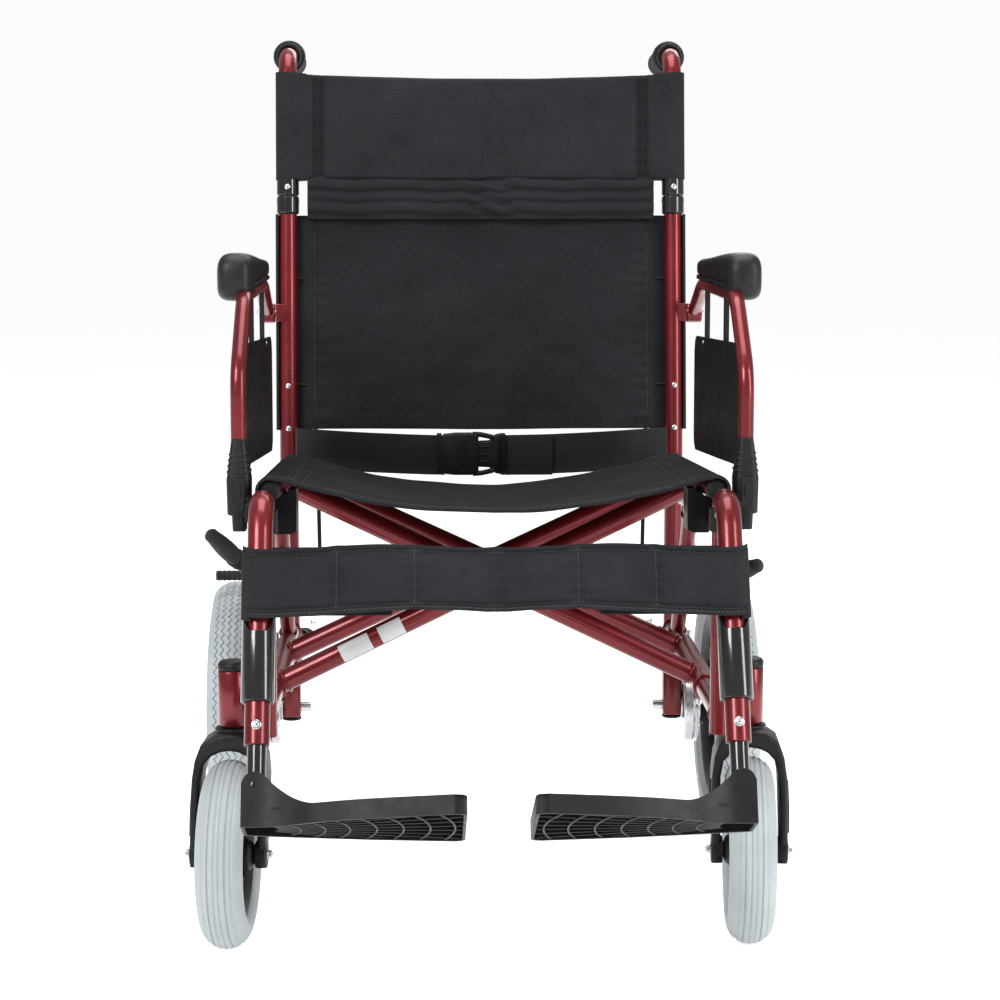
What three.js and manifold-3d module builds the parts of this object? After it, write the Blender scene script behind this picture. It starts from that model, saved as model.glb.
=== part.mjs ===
// A folding transport wheelchair: two welded side frames joined by a scissor cross-brace, with slung
// fabric, swing-away footrests, flip-back armrests, a half-folding back and attendant drum brakes.
//
// Lengths are in millimetres and angles in radians. +X is the occupant's left, the chair faces -Y, and
// +Z is up. Inside the chair group Y is 0 above the front axles and Z is 0 at the floor. Each side is
// built once as the left side, and the right side is its mirror image.
import * as THREE from "three";
import { mergeVertices } from "three/addons/utils/BufferGeometryUtils.js";
import Module from "manifold-3d";

const wasm = await Module();
wasm.setup();

// Driving dimensions.
const FRAME_X = 238; // middle plane of a side frame's posts and rails
const FRONT_POST_Y = -45;
const REAR_POST_Y = 472;
const RAIL_R = 11;
const POST_R = 12.5;
const CANE_R = 11.1;
const LOWER_RAIL_Z = 256;
const UPPER_RAIL_Z = 456;
const FRONT_POST_Z = [238, 480];
const RECLINE = THREE.MathUtils.degToRad(7.26);
const RECLINE_FROM_Z = 480; // the canes are upright below this height
const BACK_HINGE_Z = 791;
const HANDLE_Z = 966;
const HANDLE_END_Y = 690;
const SEAT_TUBE = { x: 232, z: 490, y: [-30, 436] };
const SEAT_DROP = 0.06; // mm that the seat and the upper rails fall to the rear for each mm
const SEAT_LEVEL_Y = 29; // where the seat tubes and upper rails stand at their stated heights
const REAR_WHEEL = { x: 306, r: 157.5, width: 56, rimR: 112, segments: 28 };
const CASTER = { x: 278, r: 100, width: 50, rimR: 66, trail: 45, segments: 24 };
const CASTER_HOUSING = { r: 16, y: 45, z: [230, 291] };
const CASTER_TURN = THREE.MathUtils.degToRad(4); // both casters stand this far from straight, wheels in front
const HANGER_SLOPE = THREE.MathUtils.degToRad(25);
const HANGER_R = 12.7;
const HANGER_HINGE_Y = -74;
const HANGER_LUGS_Z = [452, 396];
const FOOT_PIVOT = { x: 237, y: -213, z: 223 };
const FOOT_TUBE_R = 9.5;
const FOOTPLATE_REACH = 204.5;
const ARM_X = 264;
const ARM_PIVOT = { y: 494, z: 648 };
const ARM_PAD = { y: [73, 392], z: [698, 734] };
const BRACE_Y = { a: [128, 300], b: [156, 328] };
const BRACE_SLEEVE_R = 14;
const MID_Y = 192; // half-way between the footplates' front edges and the grips' ends
const GAP = 0.4; // left between pieces that touch
const MERGE = 0.03; // faces that lie flat within this are merged

// Finishes.
const finish = {
  redPaint: { color: 0x8c1420, roughness: 0.25, metalness: 0.3 },
  blackPlastic: { color: 0x1b1c1e, roughness: 0.5, metalness: 0 },
  blackGloss: { color: 0x101113, roughness: 0.2, metalness: 0.2 },
  steel: { color: 0xb9bcc0, roughness: 0.3, metalness: 1 },
  greyTyre: { color: 0xb4bcc0, roughness: 0.8, metalness: 0 },
  fabric: { color: 0x1d1e21, roughness: 0.95, metalness: 0 },
  grip: { color: 0x17181a, roughness: 0.7, metalness: 0 },
};

// Solids.
function solid(geometry) {
  const bare = geometry.index ? geometry.toNonIndexed() : geometry.clone();
  bare.deleteAttribute("normal");
  bare.deleteAttribute("uv");
  const merged = mergeVertices(bare, 1e-3);
  return new wasm.Manifold(
    new wasm.Mesh({
      numProp: 3,
      vertProperties: merged.attributes.position.array,
      triVerts: new Uint32Array(merged.index.array),
    }),
  );
}

function geometryOf(manifold) {
  const mesh = manifold.getMesh();
  const geometry = new THREE.BufferGeometry();
  geometry.setAttribute("position", new THREE.BufferAttribute(mesh.vertProperties, 3));
  geometry.setIndex(new THREE.BufferAttribute(mesh.triVerts, 1));
  geometry.computeVertexNormals();
  return geometry;
}

function join(...geometries) {
  return geometryOf(geometries.map(solid).reduce((sum, next) => sum.add(next)).simplify(MERGE));
}

function cut(geometry, ...tools) {
  const left = tools.map(solid).reduce((rest, tool) => rest.subtract(tool), solid(geometry));
  return geometryOf(left.simplify(MERGE));
}

// Shapes. A span is a [low, high] pair.
const middle = (span) => (span[0] + span[1]) / 2;
const size = (span) => span[1] - span[0];

function box(x, y, z) {
  return new THREE.BoxGeometry(size(x), size(y), size(z)).translate(middle(x), middle(y), middle(z));
}

// A straight round bar between two points.
function rod(from, to, radius, sides = 12) {
  const a = new THREE.Vector3(...from);
  const b = new THREE.Vector3(...to);
  const geometry = new THREE.CylinderGeometry(radius, radius, a.distanceTo(b), sides);
  const along = b.clone().sub(a).normalize();
  geometry.applyQuaternion(new THREE.Quaternion().setFromUnitVectors(new THREE.Vector3(0, 1, 0), along));
  return geometry.translate(...a.add(b).multiplyScalar(0.5).toArray());
}

// A path of straight runs whose inner corners are rounded over `bend` mm.
function bentPath(points, bend) {
  const p = points.map((q) => new THREE.Vector3(...q));
  const path = new THREE.CurvePath();
  let start = p[0];
  for (let i = 1; i < p.length - 1; i += 1) {
    const before = p[i].clone().add(p[i - 1].clone().sub(p[i]).setLength(bend));
    const after = p[i].clone().add(p[i + 1].clone().sub(p[i]).setLength(bend));
    path.add(new THREE.LineCurve3(start, before));
    path.add(new THREE.QuadraticBezierCurve3(before, p[i], after));
    start = after;
  }
  path.add(new THREE.LineCurve3(start, p[p.length - 1]));
  return path;
}

// A tube of elliptical section along a path: rx across the bend plane's normal, ry in the plane.
function tube(path, rx, ry, steps, sides = 12) {
  const section = new THREE.Shape();
  section.absellipse(0, 0, ry, rx, 0, 2 * Math.PI);
  return new THREE.ExtrudeGeometry(section, {
    steps,
    extrudePath: path,
    curveSegments: sides / 2,
    bevelEnabled: false,
  });
}

// A closed outline [[a, b], ...] in the YZ plane, extruded over the span x.
function plateYZ(outline, x) {
  const shape = new THREE.Shape(outline.map(([y, z]) => new THREE.Vector2(y, z)));
  const geometry = new THREE.ExtrudeGeometry(shape, { depth: size(x), bevelEnabled: false });
  const axes = new THREE.Matrix4().makeBasis(
    new THREE.Vector3(0, 1, 0),
    new THREE.Vector3(0, 0, 1),
    new THREE.Vector3(1, 0, 0),
  );
  return geometry.applyMatrix4(axes).translate(x[0], 0, 0);
}

// A closed outline [[x, z], ...] in the XZ plane, extruded over the span y.
function plateXZ(outline, y) {
  const shape = new THREE.Shape(outline.map(([x, z]) => new THREE.Vector2(x, z)));
  const geometry = new THREE.ExtrudeGeometry(shape, { depth: size(y), bevelEnabled: false });
  return geometry.rotateX(Math.PI / 2).translate(0, y[1], 0);
}

// A closed outline [[x, y], ...] in the XY plane, extruded over the span z.
function plateXY(outline, z) {
  const shape = new THREE.Shape(outline.map(([x, y]) => new THREE.Vector2(x, y)));
  const geometry = new THREE.ExtrudeGeometry(shape, { depth: size(z), bevelEnabled: false });
  return geometry.translate(0, 0, z[0]);
}

// A ring turned about the X axis from a closed profile of [x, radius] points.
function turnedRing(profile, segments) {
  const points = profile.map(([x, r]) => new THREE.Vector2(r, x)).reverse();
  points.push(points[0].clone());
  return new THREE.LatheGeometry(points, segments).rotateZ(-Math.PI / 2);
}

function piece(name, look, geometry, parent) {
  const mesh = new THREE.Mesh(geometry, new THREE.MeshStandardMaterial(finish[look]));
  mesh.name = name;
  parent.add(mesh);
  return mesh;
}

function groupAt(parent, x, y, z, turnX = 0) {
  const group = new THREE.Group();
  group.position.set(x, y, z);
  group.rotation.x = turnX;
  parent.add(group);
  return group;
}

// The cane's centre line leans back from the seat up.
function caneY(z) {
  return REAR_POST_Y + Math.max(0, z - RECLINE_FROM_Z) * Math.tan(RECLINE);
}

// Height of a seat tube's or an upper rail's centre line at y, from its height at SEAT_LEVEL_Y.
function dropped(z, y) {
  return z - SEAT_DROP * (y - SEAT_LEVEL_Y);
}

// Wheels, centred on their axle along X.
function tyreGeometry({ r, width, rimR }, segments) {
  const half = width / 2;
  const shoulder = r - half * 0.55;
  const profile = [[-half * 0.72, rimR + GAP], [half * 0.72, rimR + GAP], [half, (rimR + shoulder) / 2]];
  const arcSteps = 4;
  for (let i = 0; i <= arcSteps; i += 1) {
    const angle = (Math.PI * i) / arcSteps;
    profile.push([half * 0.98 * Math.cos(angle), shoulder + (r - shoulder) * Math.sin(angle)]);
  }
  profile.push([-half, (rimR + shoulder) / 2]);
  return turnedRing(profile, segments);
}

function rimGeometry({ width, rimR }, hub, spokes, segments) {
  const half = width * 0.36;
  const barrel = turnedRing(
    [[-half, rimR - 13], [half, rimR - 13], [half, rimR], [-half, rimR]],
    segments,
  );
  const hubRing = turnedRing(
    [[hub.x[0], hub.bore], [hub.x[1], hub.bore], [hub.x[1], hub.r], [hub.x[0], hub.r]],
    16,
  );
  const arms = [];
  for (let i = 0; i < spokes; i += 1) {
    const arm = box([-half * 0.45, half * 0.45], [-8, 8], [hub.r - 3, rimR - 9]);
    arms.push(arm.rotateX((2 * Math.PI * i) / spokes));
  }
  return join(barrel, hubRing, ...arms);
}

// One welded side frame with its canes' lower halves and its fittings.
function sideFrame() {
  const postTop = BACK_HINGE_Z - 22;
  const frontPost = rod(
    [FRAME_X, FRONT_POST_Y, FRONT_POST_Z[0]],
    [FRAME_X, FRONT_POST_Y, FRONT_POST_Z[1]],
    POST_R,
    16,
  );
  const railSpan = [FRONT_POST_Y, REAR_POST_Y];
  const lowerRail = rod([FRAME_X, railSpan[0], LOWER_RAIL_Z], [FRAME_X, railSpan[1], LOWER_RAIL_Z], RAIL_R);
  const [upperFront, upperRear] = railSpan.map((y) => [FRAME_X, y, dropped(UPPER_RAIL_Z, y)]);
  const upperRail = rod(upperFront, upperRear, RAIL_R);
  const cane = tube(
    bentPath(
      [
        [FRAME_X, REAR_POST_Y, 200],
        [FRAME_X, REAR_POST_Y, RECLINE_FROM_Z],
        [FRAME_X, caneY(postTop), postTop],
      ],
      30,
    ),
    CANE_R,
    CANE_R,
    14,
    14,
  );
  const axleBlock = box([FRAME_X - 11.5, FRAME_X + 11.5], [REAR_POST_Y - 13, REAR_POST_Y + 13], [146, 222]);
  const axleHole = rod([FRAME_X - 20, REAR_POST_Y, REAR_WHEEL.r], [FRAME_X + 20, REAR_POST_Y, REAR_WHEEL.r], 6.4);
  const tipLever = tube(
    bentPath(
      [
        [FRAME_X, REAR_POST_Y - 4, 236],
        [FRAME_X - 8, REAR_POST_Y + 40, 236],
        [FRAME_X - 14, REAR_POST_Y + 112, 224],
      ],
      20,
    ),
    9,
    9,
    8,
    10,
  );
  const strutHead = [FRAME_X, 268, dropped(UPPER_RAIL_Z, 268) - 6];
  const strutFoot = rod([FRAME_X, REAR_POST_Y - 60, LOWER_RAIL_Z], strutHead, 9);
  const housing = rod(
    [CASTER.x, CASTER_HOUSING.y, CASTER_HOUSING.z[0]],
    [CASTER.x, CASTER_HOUSING.y, CASTER_HOUSING.z[1]],
    CASTER_HOUSING.r,
    18,
  );
  const housingBore = rod(
    [CASTER.x, CASTER_HOUSING.y, CASTER_HOUSING.z[0] - 5],
    [CASTER.x, CASTER_HOUSING.y, CASTER_HOUSING.z[1] + 5],
    10.4,
    16,
  );
  const housingWeb = box([FRAME_X, CASTER.x - 13], [CASTER_HOUSING.y - 7, CASTER_HOUSING.y + 7], [236, 286]);
  const restZ = [dropped(UPPER_RAIL_Z, 400), dropped(SEAT_TUBE.z, 412) - CANE_R - 1];
  const seatRest = box([FRAME_X - 16, FRAME_X - 1], [388, 412], restZ);
  const armBracket = box([FRAME_X - 6, ARM_X - 11], [ARM_PIVOT.y - 15, ARM_PIVOT.y + 7], [634, 664]);
  const armPin = rod([FRAME_X, ARM_PIVOT.y, ARM_PIVOT.z], [ARM_X + 10, ARM_PIVOT.y, ARM_PIVOT.z], 5);
  const lockPlate = box([FRAME_X + 6, FRAME_X + 18], [292, 346], [318, 352]);
  const lockStay = rod([FRAME_X + 12, 335, 338], [FRAME_X, 335, dropped(UPPER_RAIL_Z, 335)], 6);
  const lugs = HANGER_LUGS_Z.flatMap((z) => [
    box([FRAME_X - 9, FRAME_X + 9], [HANGER_HINGE_Y - 9, FRONT_POST_Y], [z - 6, z]),
    rod([FRAME_X, HANGER_HINGE_Y, z - 3], [FRAME_X, HANGER_HINGE_Y, z + 22], 5),
  ]);
  const body = join(
    frontPost,
    lowerRail,
    upperRail,
    cane,
    axleBlock,
    tipLever,
    strutFoot,
    housing,
    housingWeb,
    seatRest,
    armBracket,
    armPin,
    lockPlate,
    lockStay,
    ...lugs,
  );
  return cut(body, housingBore, axleHole);
}

// The plastic saddle that clips on the upper rail and holds the seat tube from below.
function saddleGeometry() {
  const block = box([FRAME_X - 32, FRAME_X + 13.5], [8, 50], [442, SEAT_TUBE.z - 1]);
  const bore = (x, z, radius) => rod([x, 0, dropped(z, 0)], [x, 60, dropped(z, 60)], radius, 16);
  const railHole = bore(FRAME_X, UPPER_RAIL_Z, RAIL_R + GAP);
  const channel = bore(SEAT_TUBE.x, SEAT_TUBE.z, CANE_R + 0.9);
  const snapSlot = box([FRAME_X - 7, FRAME_X + 7], [0, 60], [430, UPPER_RAIL_Z]);
  return cut(block, railHole, channel, snapSlot);
}

// Front caster: fork with its stem, wheel and tyre.
function addCaster(name, side, turn) {
  const swivel = groupAt(side, CASTER.x, CASTER_HOUSING.y, 0);
  swivel.rotation.z = Math.PI + turn;
  const axleY = CASTER.trail;
  const crown = box([-40, 40], [-24, 40], [205, 228.5]);
  const leg = [
    [-22, 228],
    [40, 228],
    [axleY + 15, 150],
    [axleY + 13, 92],
    [axleY, 84],
    [axleY - 13, 92],
    [axleY - 18, 150],
  ];
  const legs = [[-40, -30], [30, 40]].map((x) => plateYZ(leg, x));
  const stem = rod([0, 0, 220], [0, 0, 282], 10, 16);
  const bolt = rod([-46, axleY, CASTER.r], [46, axleY, CASTER.r], 5, 10);
  const heads = [[-46, -39], [39, 46]].map((x) => rod([x[0], axleY, CASTER.r], [x[1], axleY, CASTER.r], 8.5, 6));
  piece("caster_fork_" + name, "blackPlastic", join(crown, ...legs, stem, bolt, ...heads), swivel);
  const wheel = groupAt(swivel, 0, axleY, CASTER.r);
  const hub = { r: 17, bore: 5.4, x: [-28, 28] };
  piece("caster_rim_" + name, "blackPlastic", rimGeometry(CASTER, hub, 5, CASTER.segments), wheel);
  piece("caster_tyre_" + name, "greyTyre", tyreGeometry(CASTER, CASTER.segments), wheel);
  const cap = join(
    rod([0, 0, CASTER_HOUSING.z[1] + GAP], [0, 0, CASTER_HOUSING.z[1] + 7], CASTER_HOUSING.r, 18),
    rod([0, 0, CASTER_HOUSING.z[1] + 6], [0, 0, CASTER_HOUSING.z[1] + 11], 10, 12),
  );
  piece("caster_cap_" + name, "blackPlastic", cap, swivel);
}

// Rear wheel with its drum brake and axle bolt.
function addRearWheel(name, side) {
  const axle = groupAt(side, REAR_WHEEL.x, REAR_POST_Y, REAR_WHEEL.r);
  const inner = FRAME_X + 11.5 + GAP - REAR_WHEEL.x;
  const drum = rod([inner, 0, 0], [inner + 20, 0, 0], 46, 24);
  const bolt = rod([FRAME_X - 22 - REAR_WHEEL.x, 0, 0], [30, 0, 0], 6, 12);
  const nut = rod([FRAME_X - 22 - REAR_WHEEL.x, 0, 0], [FRAME_X - 12 - REAR_WHEEL.x, 0, 0], 10, 6);
  const armPlate = box([inner + 4, inner + 14], [12, 30], [30, 92]);
  piece("drum_brake_" + name, "steel", join(drum, bolt, nut, armPlate), axle);
  const hub = { r: 24, bore: 6.4, x: [inner + 21, 26] };
  piece("rear_rim_" + name, "blackPlastic", rimGeometry(REAR_WHEEL, hub, 6, REAR_WHEEL.segments), axle);
  piece("rear_tyre_" + name, "greyTyre", tyreGeometry(REAR_WHEEL, REAR_WHEEL.segments), axle);
}

// Push handle: sleeve over the back hinge, upper cane, grip, brake lever and cable.
function addHandle(name, side) {
  const low = BACK_HINGE_Z - 22 + GAP;
  const high = BACK_HINGE_Z + 22;
  const pivot = [FRAME_X, caneY(BACK_HINGE_Z), BACK_HINGE_Z];
  const upper = [FRAME_X, caneY(high), high];
  const hinge = join(
    rod([FRAME_X, caneY(low), low], pivot, CANE_R + 2.5, 16),
    rod([FRAME_X - 15, pivot[1], pivot[2] - 7], [FRAME_X + 13.4, pivot[1], pivot[2] - 7], 5, 10),
  );
  const aboveHinge = box([0, 400], [300, 700], [BACK_HINGE_Z, BACK_HINGE_Z + 60]);
  piece("back_hinge_" + name, "blackGloss", cut(hinge, aboveHinge), side);
  const start = BACK_HINGE_Z + GAP;
  const bendAt = [FRAME_X, caneY(HANDLE_Z), HANDLE_Z];
  const cane = tube(
    bentPath([[FRAME_X, caneY(start), start], bendAt, [FRAME_X, HANDLE_END_Y - 8, HANDLE_Z - 5]], 30),
    CANE_R,
    CANE_R,
    18,
    12,
  );
  const collar = rod([FRAME_X, caneY(start), start], upper, CANE_R + 2.5, 16);
  const levered = cut(join(cane, collar), box([0, 400], [300, 700], [BACK_HINGE_Z - 60, start]));
  const gripStart = HANDLE_END_Y - 112;
  const gripZ = (y) => HANDLE_Z - (5 * (y - bendAt[1])) / (HANDLE_END_Y - 8 - bendAt[1]);
  const along = (y) => [FRAME_X, y, gripZ(y)];
  piece(
    "upper_cane_" + name,
    "redPaint",
    cut(levered, box([0, 400], [HANDLE_END_Y - 9, 800], [900, 1000])),
    side,
  );
  const gripBody = join(
    rod(along(gripStart), along(HANDLE_END_Y), 15.5, 16),
    rod(along(gripStart), along(gripStart + 14), 19, 12),
  );
  const bore = rod(along(gripStart - 20), along(HANDLE_END_Y - 6), CANE_R + GAP, 16);
  piece("hand_grip_" + name, "grip", cut(gripBody, bore), side);
  const leverY = gripStart - 8;
  const hangZ = gripZ(leverY) - 29;
  const clampRing = cut(
    rod(along(leverY - 4), along(leverY + 6), 16, 14),
    rod(along(leverY - 20), along(leverY + 20), CANE_R + GAP, 16),
  );
  const block = box([FRAME_X - 7, FRAME_X + 7], [leverY - 8, leverY + 5], [hangZ - 5, hangZ + 15]);
  piece("brake_bracket_" + name, "blackPlastic", join(clampRing, block), side);
  const leverPath = bentPath(
    [
      [FRAME_X, leverY + 8, hangZ - 1],
      [FRAME_X, leverY + 44, hangZ - 11],
      [FRAME_X, leverY + 108, hangZ - 17],
    ],
    18,
  );
  piece("brake_lever_" + name, "blackPlastic", tube(leverPath, 4, 7, 8, 10), side);
  const route = [
    [218, 596, 928],
    [214, 590, 900],
    [212, 568, 860],
    [211, 552, 820],
    [211, 545, 780],
    [211, 538, 740],
    [211, 531, 690],
    [210, 524, 620],
    [208, 517, 550],
    [206, 511, 480],
    [204, 507, 420],
    [203, 505, 370],
    [203, 505, 330],
    [205, 506, 303],
    [213, 508, 283],
    [228, 509, 272],
    [246, 508, 271],
    [258, 504, 282],
    [262.5, 499, 300],
    [262.5, 496, 318],
  ];
  const curve = new THREE.CatmullRomCurve3(route.map((q) => new THREE.Vector3(...q)));
  piece("brake_cable_" + name, "blackPlastic", tube(curve, 2.5, 2.5, 26, 6), side);
}

// Swing-away footrest: hanger, length clamp, extension tube and flip-up footplate.
function addFootrest(name, side) {
  const leg = groupAt(side, FOOT_PIVOT.x, FOOT_PIVOT.y, FOOT_PIVOT.z, -HANGER_SLOPE);
  const sin = Math.sin(HANGER_SLOPE);
  const cos = Math.cos(HANGER_SLOPE);
  // A chair point in the leg's own frame, whose z runs up the tube and y is square to it, to the rear.
  const local = (y, z) => [
    0,
    (y - FOOT_PIVOT.y) * cos - (z - FOOT_PIVOT.z) * sin,
    (y - FOOT_PIVOT.y) * sin + (z - FOOT_PIVOT.z) * cos,
  ];
  const redEnd = 43;
  const top = 488;
  const onTube = (z) => local(FOOT_PIVOT.y + (z - FOOT_PIVOT.z) * Math.tan(HANGER_SLOPE), z);
  const tubePath = bentPath([[0, 0, redEnd], onTube(top), local(FRONT_POST_Y - 21, top - 2)], 26);
  const bent = tube(tubePath, HANGER_R, HANGER_R, 18, 12);
  const upright = new THREE.Matrix4().makeRotationX(HANGER_SLOPE);
  // Pieces drawn upright in chair axes about the foot pivot, then turned into the leg's frame.
  const chairBox = (x, y, z) =>
    box(
      [x[0] - FOOT_PIVOT.x, x[1] - FOOT_PIVOT.x],
      [y[0] - FOOT_PIVOT.y, y[1] - FOOT_PIVOT.y],
      [z[0] - FOOT_PIVOT.z, z[1] - FOOT_PIVOT.z],
    ).applyMatrix4(upright);
  const chairRod = (from, to, r, sides) =>
    rod(
      [from[0] - FOOT_PIVOT.x, from[1] - FOOT_PIVOT.y, from[2] - FOOT_PIVOT.z],
      [to[0] - FOOT_PIVOT.x, to[1] - FOOT_PIVOT.y, to[2] - FOOT_PIVOT.z],
      r,
      sides,
    ).applyMatrix4(upright);
  const barrels = HANGER_LUGS_Z.map((z) =>
    chairRod([FRAME_X, HANGER_HINGE_Y, z + GAP], [FRAME_X, HANGER_HINGE_Y, z + 20], 10.5, 14),
  );
  const links = [
    chairBox([FRAME_X - 4, FRAME_X + 4], [-106, HANGER_HINGE_Y - 3], [452.4, 472]),
    chairBox([FRAME_X - 4, FRAME_X + 4], [-132, HANGER_HINGE_Y - 3], [396.4, 416]),
  ];
  const pinHoles = HANGER_LUGS_Z.map((z) =>
    chairRod([FRAME_X, HANGER_HINGE_Y, z - 10], [FRAME_X, HANGER_HINGE_Y, z + 30], 5.4, 14),
  );
  const bore = rod([0, 0, 30], [0, 0, 196], FOOT_TUBE_R + GAP, 16);
  piece("hanger_" + name, "redPaint", cut(join(bent, ...barrels, ...links), ...pinHoles, bore), leg);
  const clampBody = rod([0, 0, 86], [0, 0, 176], 16.7, 18);
  const clampBore = rod([0, 0, 80], [0, 0, 190], HANGER_R + GAP, 18);
  const mouth = rod([0, -40, 176], [0, 0, 176], 12, 16);
  piece("hanger_clamp_" + name, "blackPlastic", cut(clampBody, clampBore, mouth), leg);
  const shank = join(
    rod([0, 0, -11], [0, 0, 170], FOOT_TUBE_R, 14),
    rod([0, -25, 0], [0, 25, 0], 4.5, 12),
  );
  piece("foot_tube_" + name, "blackGloss", shank, leg);
  const ear = [
    [13, -40],
    [13, 0],
    [9, 9],
    [0, 13],
    [-9, 9],
    [-46, -20],
    [-46, -40],
  ];
  const cheeks = [[-22, -FOOT_TUBE_R - 1], [FOOT_TUBE_R + 1, 22]].map((y) => plateXZ(ear, y));
  const plan = [
    [13, -24],
    [-30, -50],
    [-FOOTPLATE_REACH + 10, -84],
    [-FOOTPLATE_REACH, -76],
    [-FOOTPLATE_REACH, 58],
    [-FOOTPLATE_REACH + 10, 66],
    [-40, 38],
    [13, 24],
  ];
  const plate = plateXY(plan, [-41, -22]);
  const clear = box([-11, 30], [-FOOT_TUBE_R - 1, FOOT_TUBE_R + 1], [-13.5, 20]);
  const pinBore = rod([0, -40, 0], [0, 40, 0], 4.9, 12);
  const stepFree = cut(join(...cheeks, plate), clear, pinBore);
  piece("footplate_" + name, "blackPlastic", stepFree, leg);
  const strap = box([-FOOT_PIVOT.x + 0.6, 13], [-HANGER_R - 5, -HANGER_R - 0.6], [180, 250]);
  piece("calf_strap_" + name, "fabric", strap, leg);
}

// Flip-back armrest: tube, pad, skirt guard and the socket it drops into.
function addArmrest(name, side) {
  const under = ARM_PAD.z[0] - 9;
  const frame = tube(
    bentPath(
      [
        [ARM_X, -12, 515],
        [ARM_X, -12, 604],
        [ARM_X, 78, under],
        [ARM_X, 392, under],
        [ARM_X, ARM_PIVOT.y, ARM_PIVOT.z],
      ],
      22,
    ),
    7.6,
    8.5,
    24,
    10,
  );
  const boss = rod([ARM_X - 10.5, ARM_PIVOT.y, ARM_PIVOT.z], [ARM_X + 9, ARM_PIVOT.y, ARM_PIVOT.z], 12, 16);
  const pinHole = rod([ARM_X - 20, ARM_PIVOT.y, ARM_PIVOT.z], [ARM_X + 20, ARM_PIVOT.y, ARM_PIVOT.z], 5.4, 12);
  piece("armrest_tube_" + name, "redPaint", cut(join(frame, boss), pinHole), side);
  const nose = ARM_PAD.y[0];
  const tail = ARM_PAD.y[1];
  const padOutline = [
    [nose + 30, ARM_PAD.z[0]],
    [nose + 12, ARM_PAD.z[0] - 12],
    [nose, 690],
    [nose - 2, 716],
    [nose + 10, 731],
    [nose + 30, ARM_PAD.z[1]],
    [tail - 20, ARM_PAD.z[1] - 6],
    [tail, ARM_PAD.z[1] - 16],
    [tail, ARM_PAD.z[0] + 4],
    [tail - 10, ARM_PAD.z[0]],
  ];
  const padX = [ARM_X + 7 - 19, ARM_X + 7 + 20];
  const tubeChannel = box([ARM_X - 9, ARM_X + 9], [0, 140], [600, ARM_PAD.z[0] + 0.4]);
  piece("arm_pad_" + name, "grip", cut(plateYZ(padOutline, padX), tubeChannel), side);
  const guardOutline = [
    [8, 512],
    [360, 492],
    [372, 504],
    [372, 618],
    [360, 628],
    [40, 640],
    [8, 600],
  ];
  piece("skirt_guard_" + name, "blackPlastic", plateYZ(guardOutline, [251.4, 255.6]), side);
  const socketOutline = [
    [-30, 468],
    [-30, 506],
    [-25, 537],
    [2, 537],
    [6, 506],
    [6, 468],
    [0, 450],
    [-24, 450],
  ];
  const socketBody = join(
    plateYZ(socketOutline, [ARM_X - 12.4, ARM_X + 12.6]),
    box([FRAME_X + 12.9, ARM_X - 10], [-50, -8], [464, 482]),
  );
  const socketHole = box([ARM_X - 8.4, ARM_X + 8.4], [-34, -2.6], [513, 560]);
  piece("arm_socket_" + name, "blackPlastic", cut(socketBody, socketHole), side);
}

// Push-to-lock wheel brake. `locked` says how the two sides stand at rest.
function addWheelLock(name, side, locked) {
  const pivot = groupAt(side, FRAME_X + 18 + GAP, 306, 336);
  const tip = locked ? [48, -118, 42] : [54, -112, 78];
  const start = tip.map((v) => v * 0.48);
  const lever = join(
    rod([0, 0, 0], [7, 0, 0], 12, 14),
    rod([6, 0, 0], tip, 5, 10),
    rod(start, tip.map((v) => v * 1.06), 10.5, 14),
  );
  piece("lock_lever_" + name, "blackPlastic", lever, pivot);
  const shoe = groupAt(side, FRAME_X + 18 + GAP, 338, 338);
  const drop = locked ? 14 : 0;
  const barY = 92;
  const barZ = -7 - drop;
  const arm = join(
    rod([0, 0, 0], [6, 0, 0], 8, 12),
    rod([5, 0, 0], [5, barY, barZ], 4, 10),
    rod([1, barY, barZ], [70, barY, barZ], 6, 12),
  );
  piece("lock_shoe_" + name, "blackPlastic", arm, shoe);
}

// Scissor brace. Leg a turns on the right lower rail and carries the left seat tube; leg b is its mirror.
function braceLeg(stations, seatSide) {
  const foot = [-seatSide * FRAME_X, LOWER_RAIL_Z];
  const headX = seatSide * SEAT_TUBE.x;
  const headAt = (y) => [headX, y, dropped(SEAT_TUBE.z, y)];
  const sleeveSpan = [BRACE_Y.a[0] - 24, BRACE_Y.b[1] + 24];
  const sleeve = rod([foot[0], sleeveSpan[0], foot[1]], [foot[0], sleeveSpan[1], foot[1]], BRACE_SLEEVE_R, 18);
  const railBore = rod([foot[0], sleeveSpan[0] - 9, foot[1]], [foot[0], sleeveSpan[1] + 9, foot[1]], RAIL_R + GAP, 16);
  const seatTube = rod(headAt(SEAT_TUBE.y[0]), headAt(SEAT_TUBE.y[1]), CANE_R, 14);
  const struts = stations.map((y) => rod([foot[0], y, foot[1]], headAt(y), 12, 14));
  const crossing = crossingZ();
  const boltBore = rod([0, 60, crossing], [0, 400, crossing], 6.5, 12);
  return cut(join(sleeve, seatTube, ...struts), railBore, boltBore);
}

function crossingZ() {
  const headZ = dropped(SEAT_TUBE.z, middle([BRACE_Y.a[0], BRACE_Y.b[1]]));
  return LOWER_RAIL_Z + ((headZ - LOWER_RAIL_Z) * FRAME_X) / (FRAME_X + SEAT_TUBE.x);
}

// Slung fabric, as plain solids.
function sag(halfWidth, flatFrom, depth, edge, thickness, steps) {
  const top = [[halfWidth, edge]];
  for (let i = 0; i <= steps; i += 1) {
    const x = flatFrom * (1 - (2 * i) / steps);
    top.push([x, edge - depth * (1 - (x / flatFrom) ** 2)]);
  }
  top.push([-halfWidth, edge]);
  const bottom = top.map(([x, z]) => [x, z - thickness]).reverse();
  return [...top, ...bottom];
}

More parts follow.
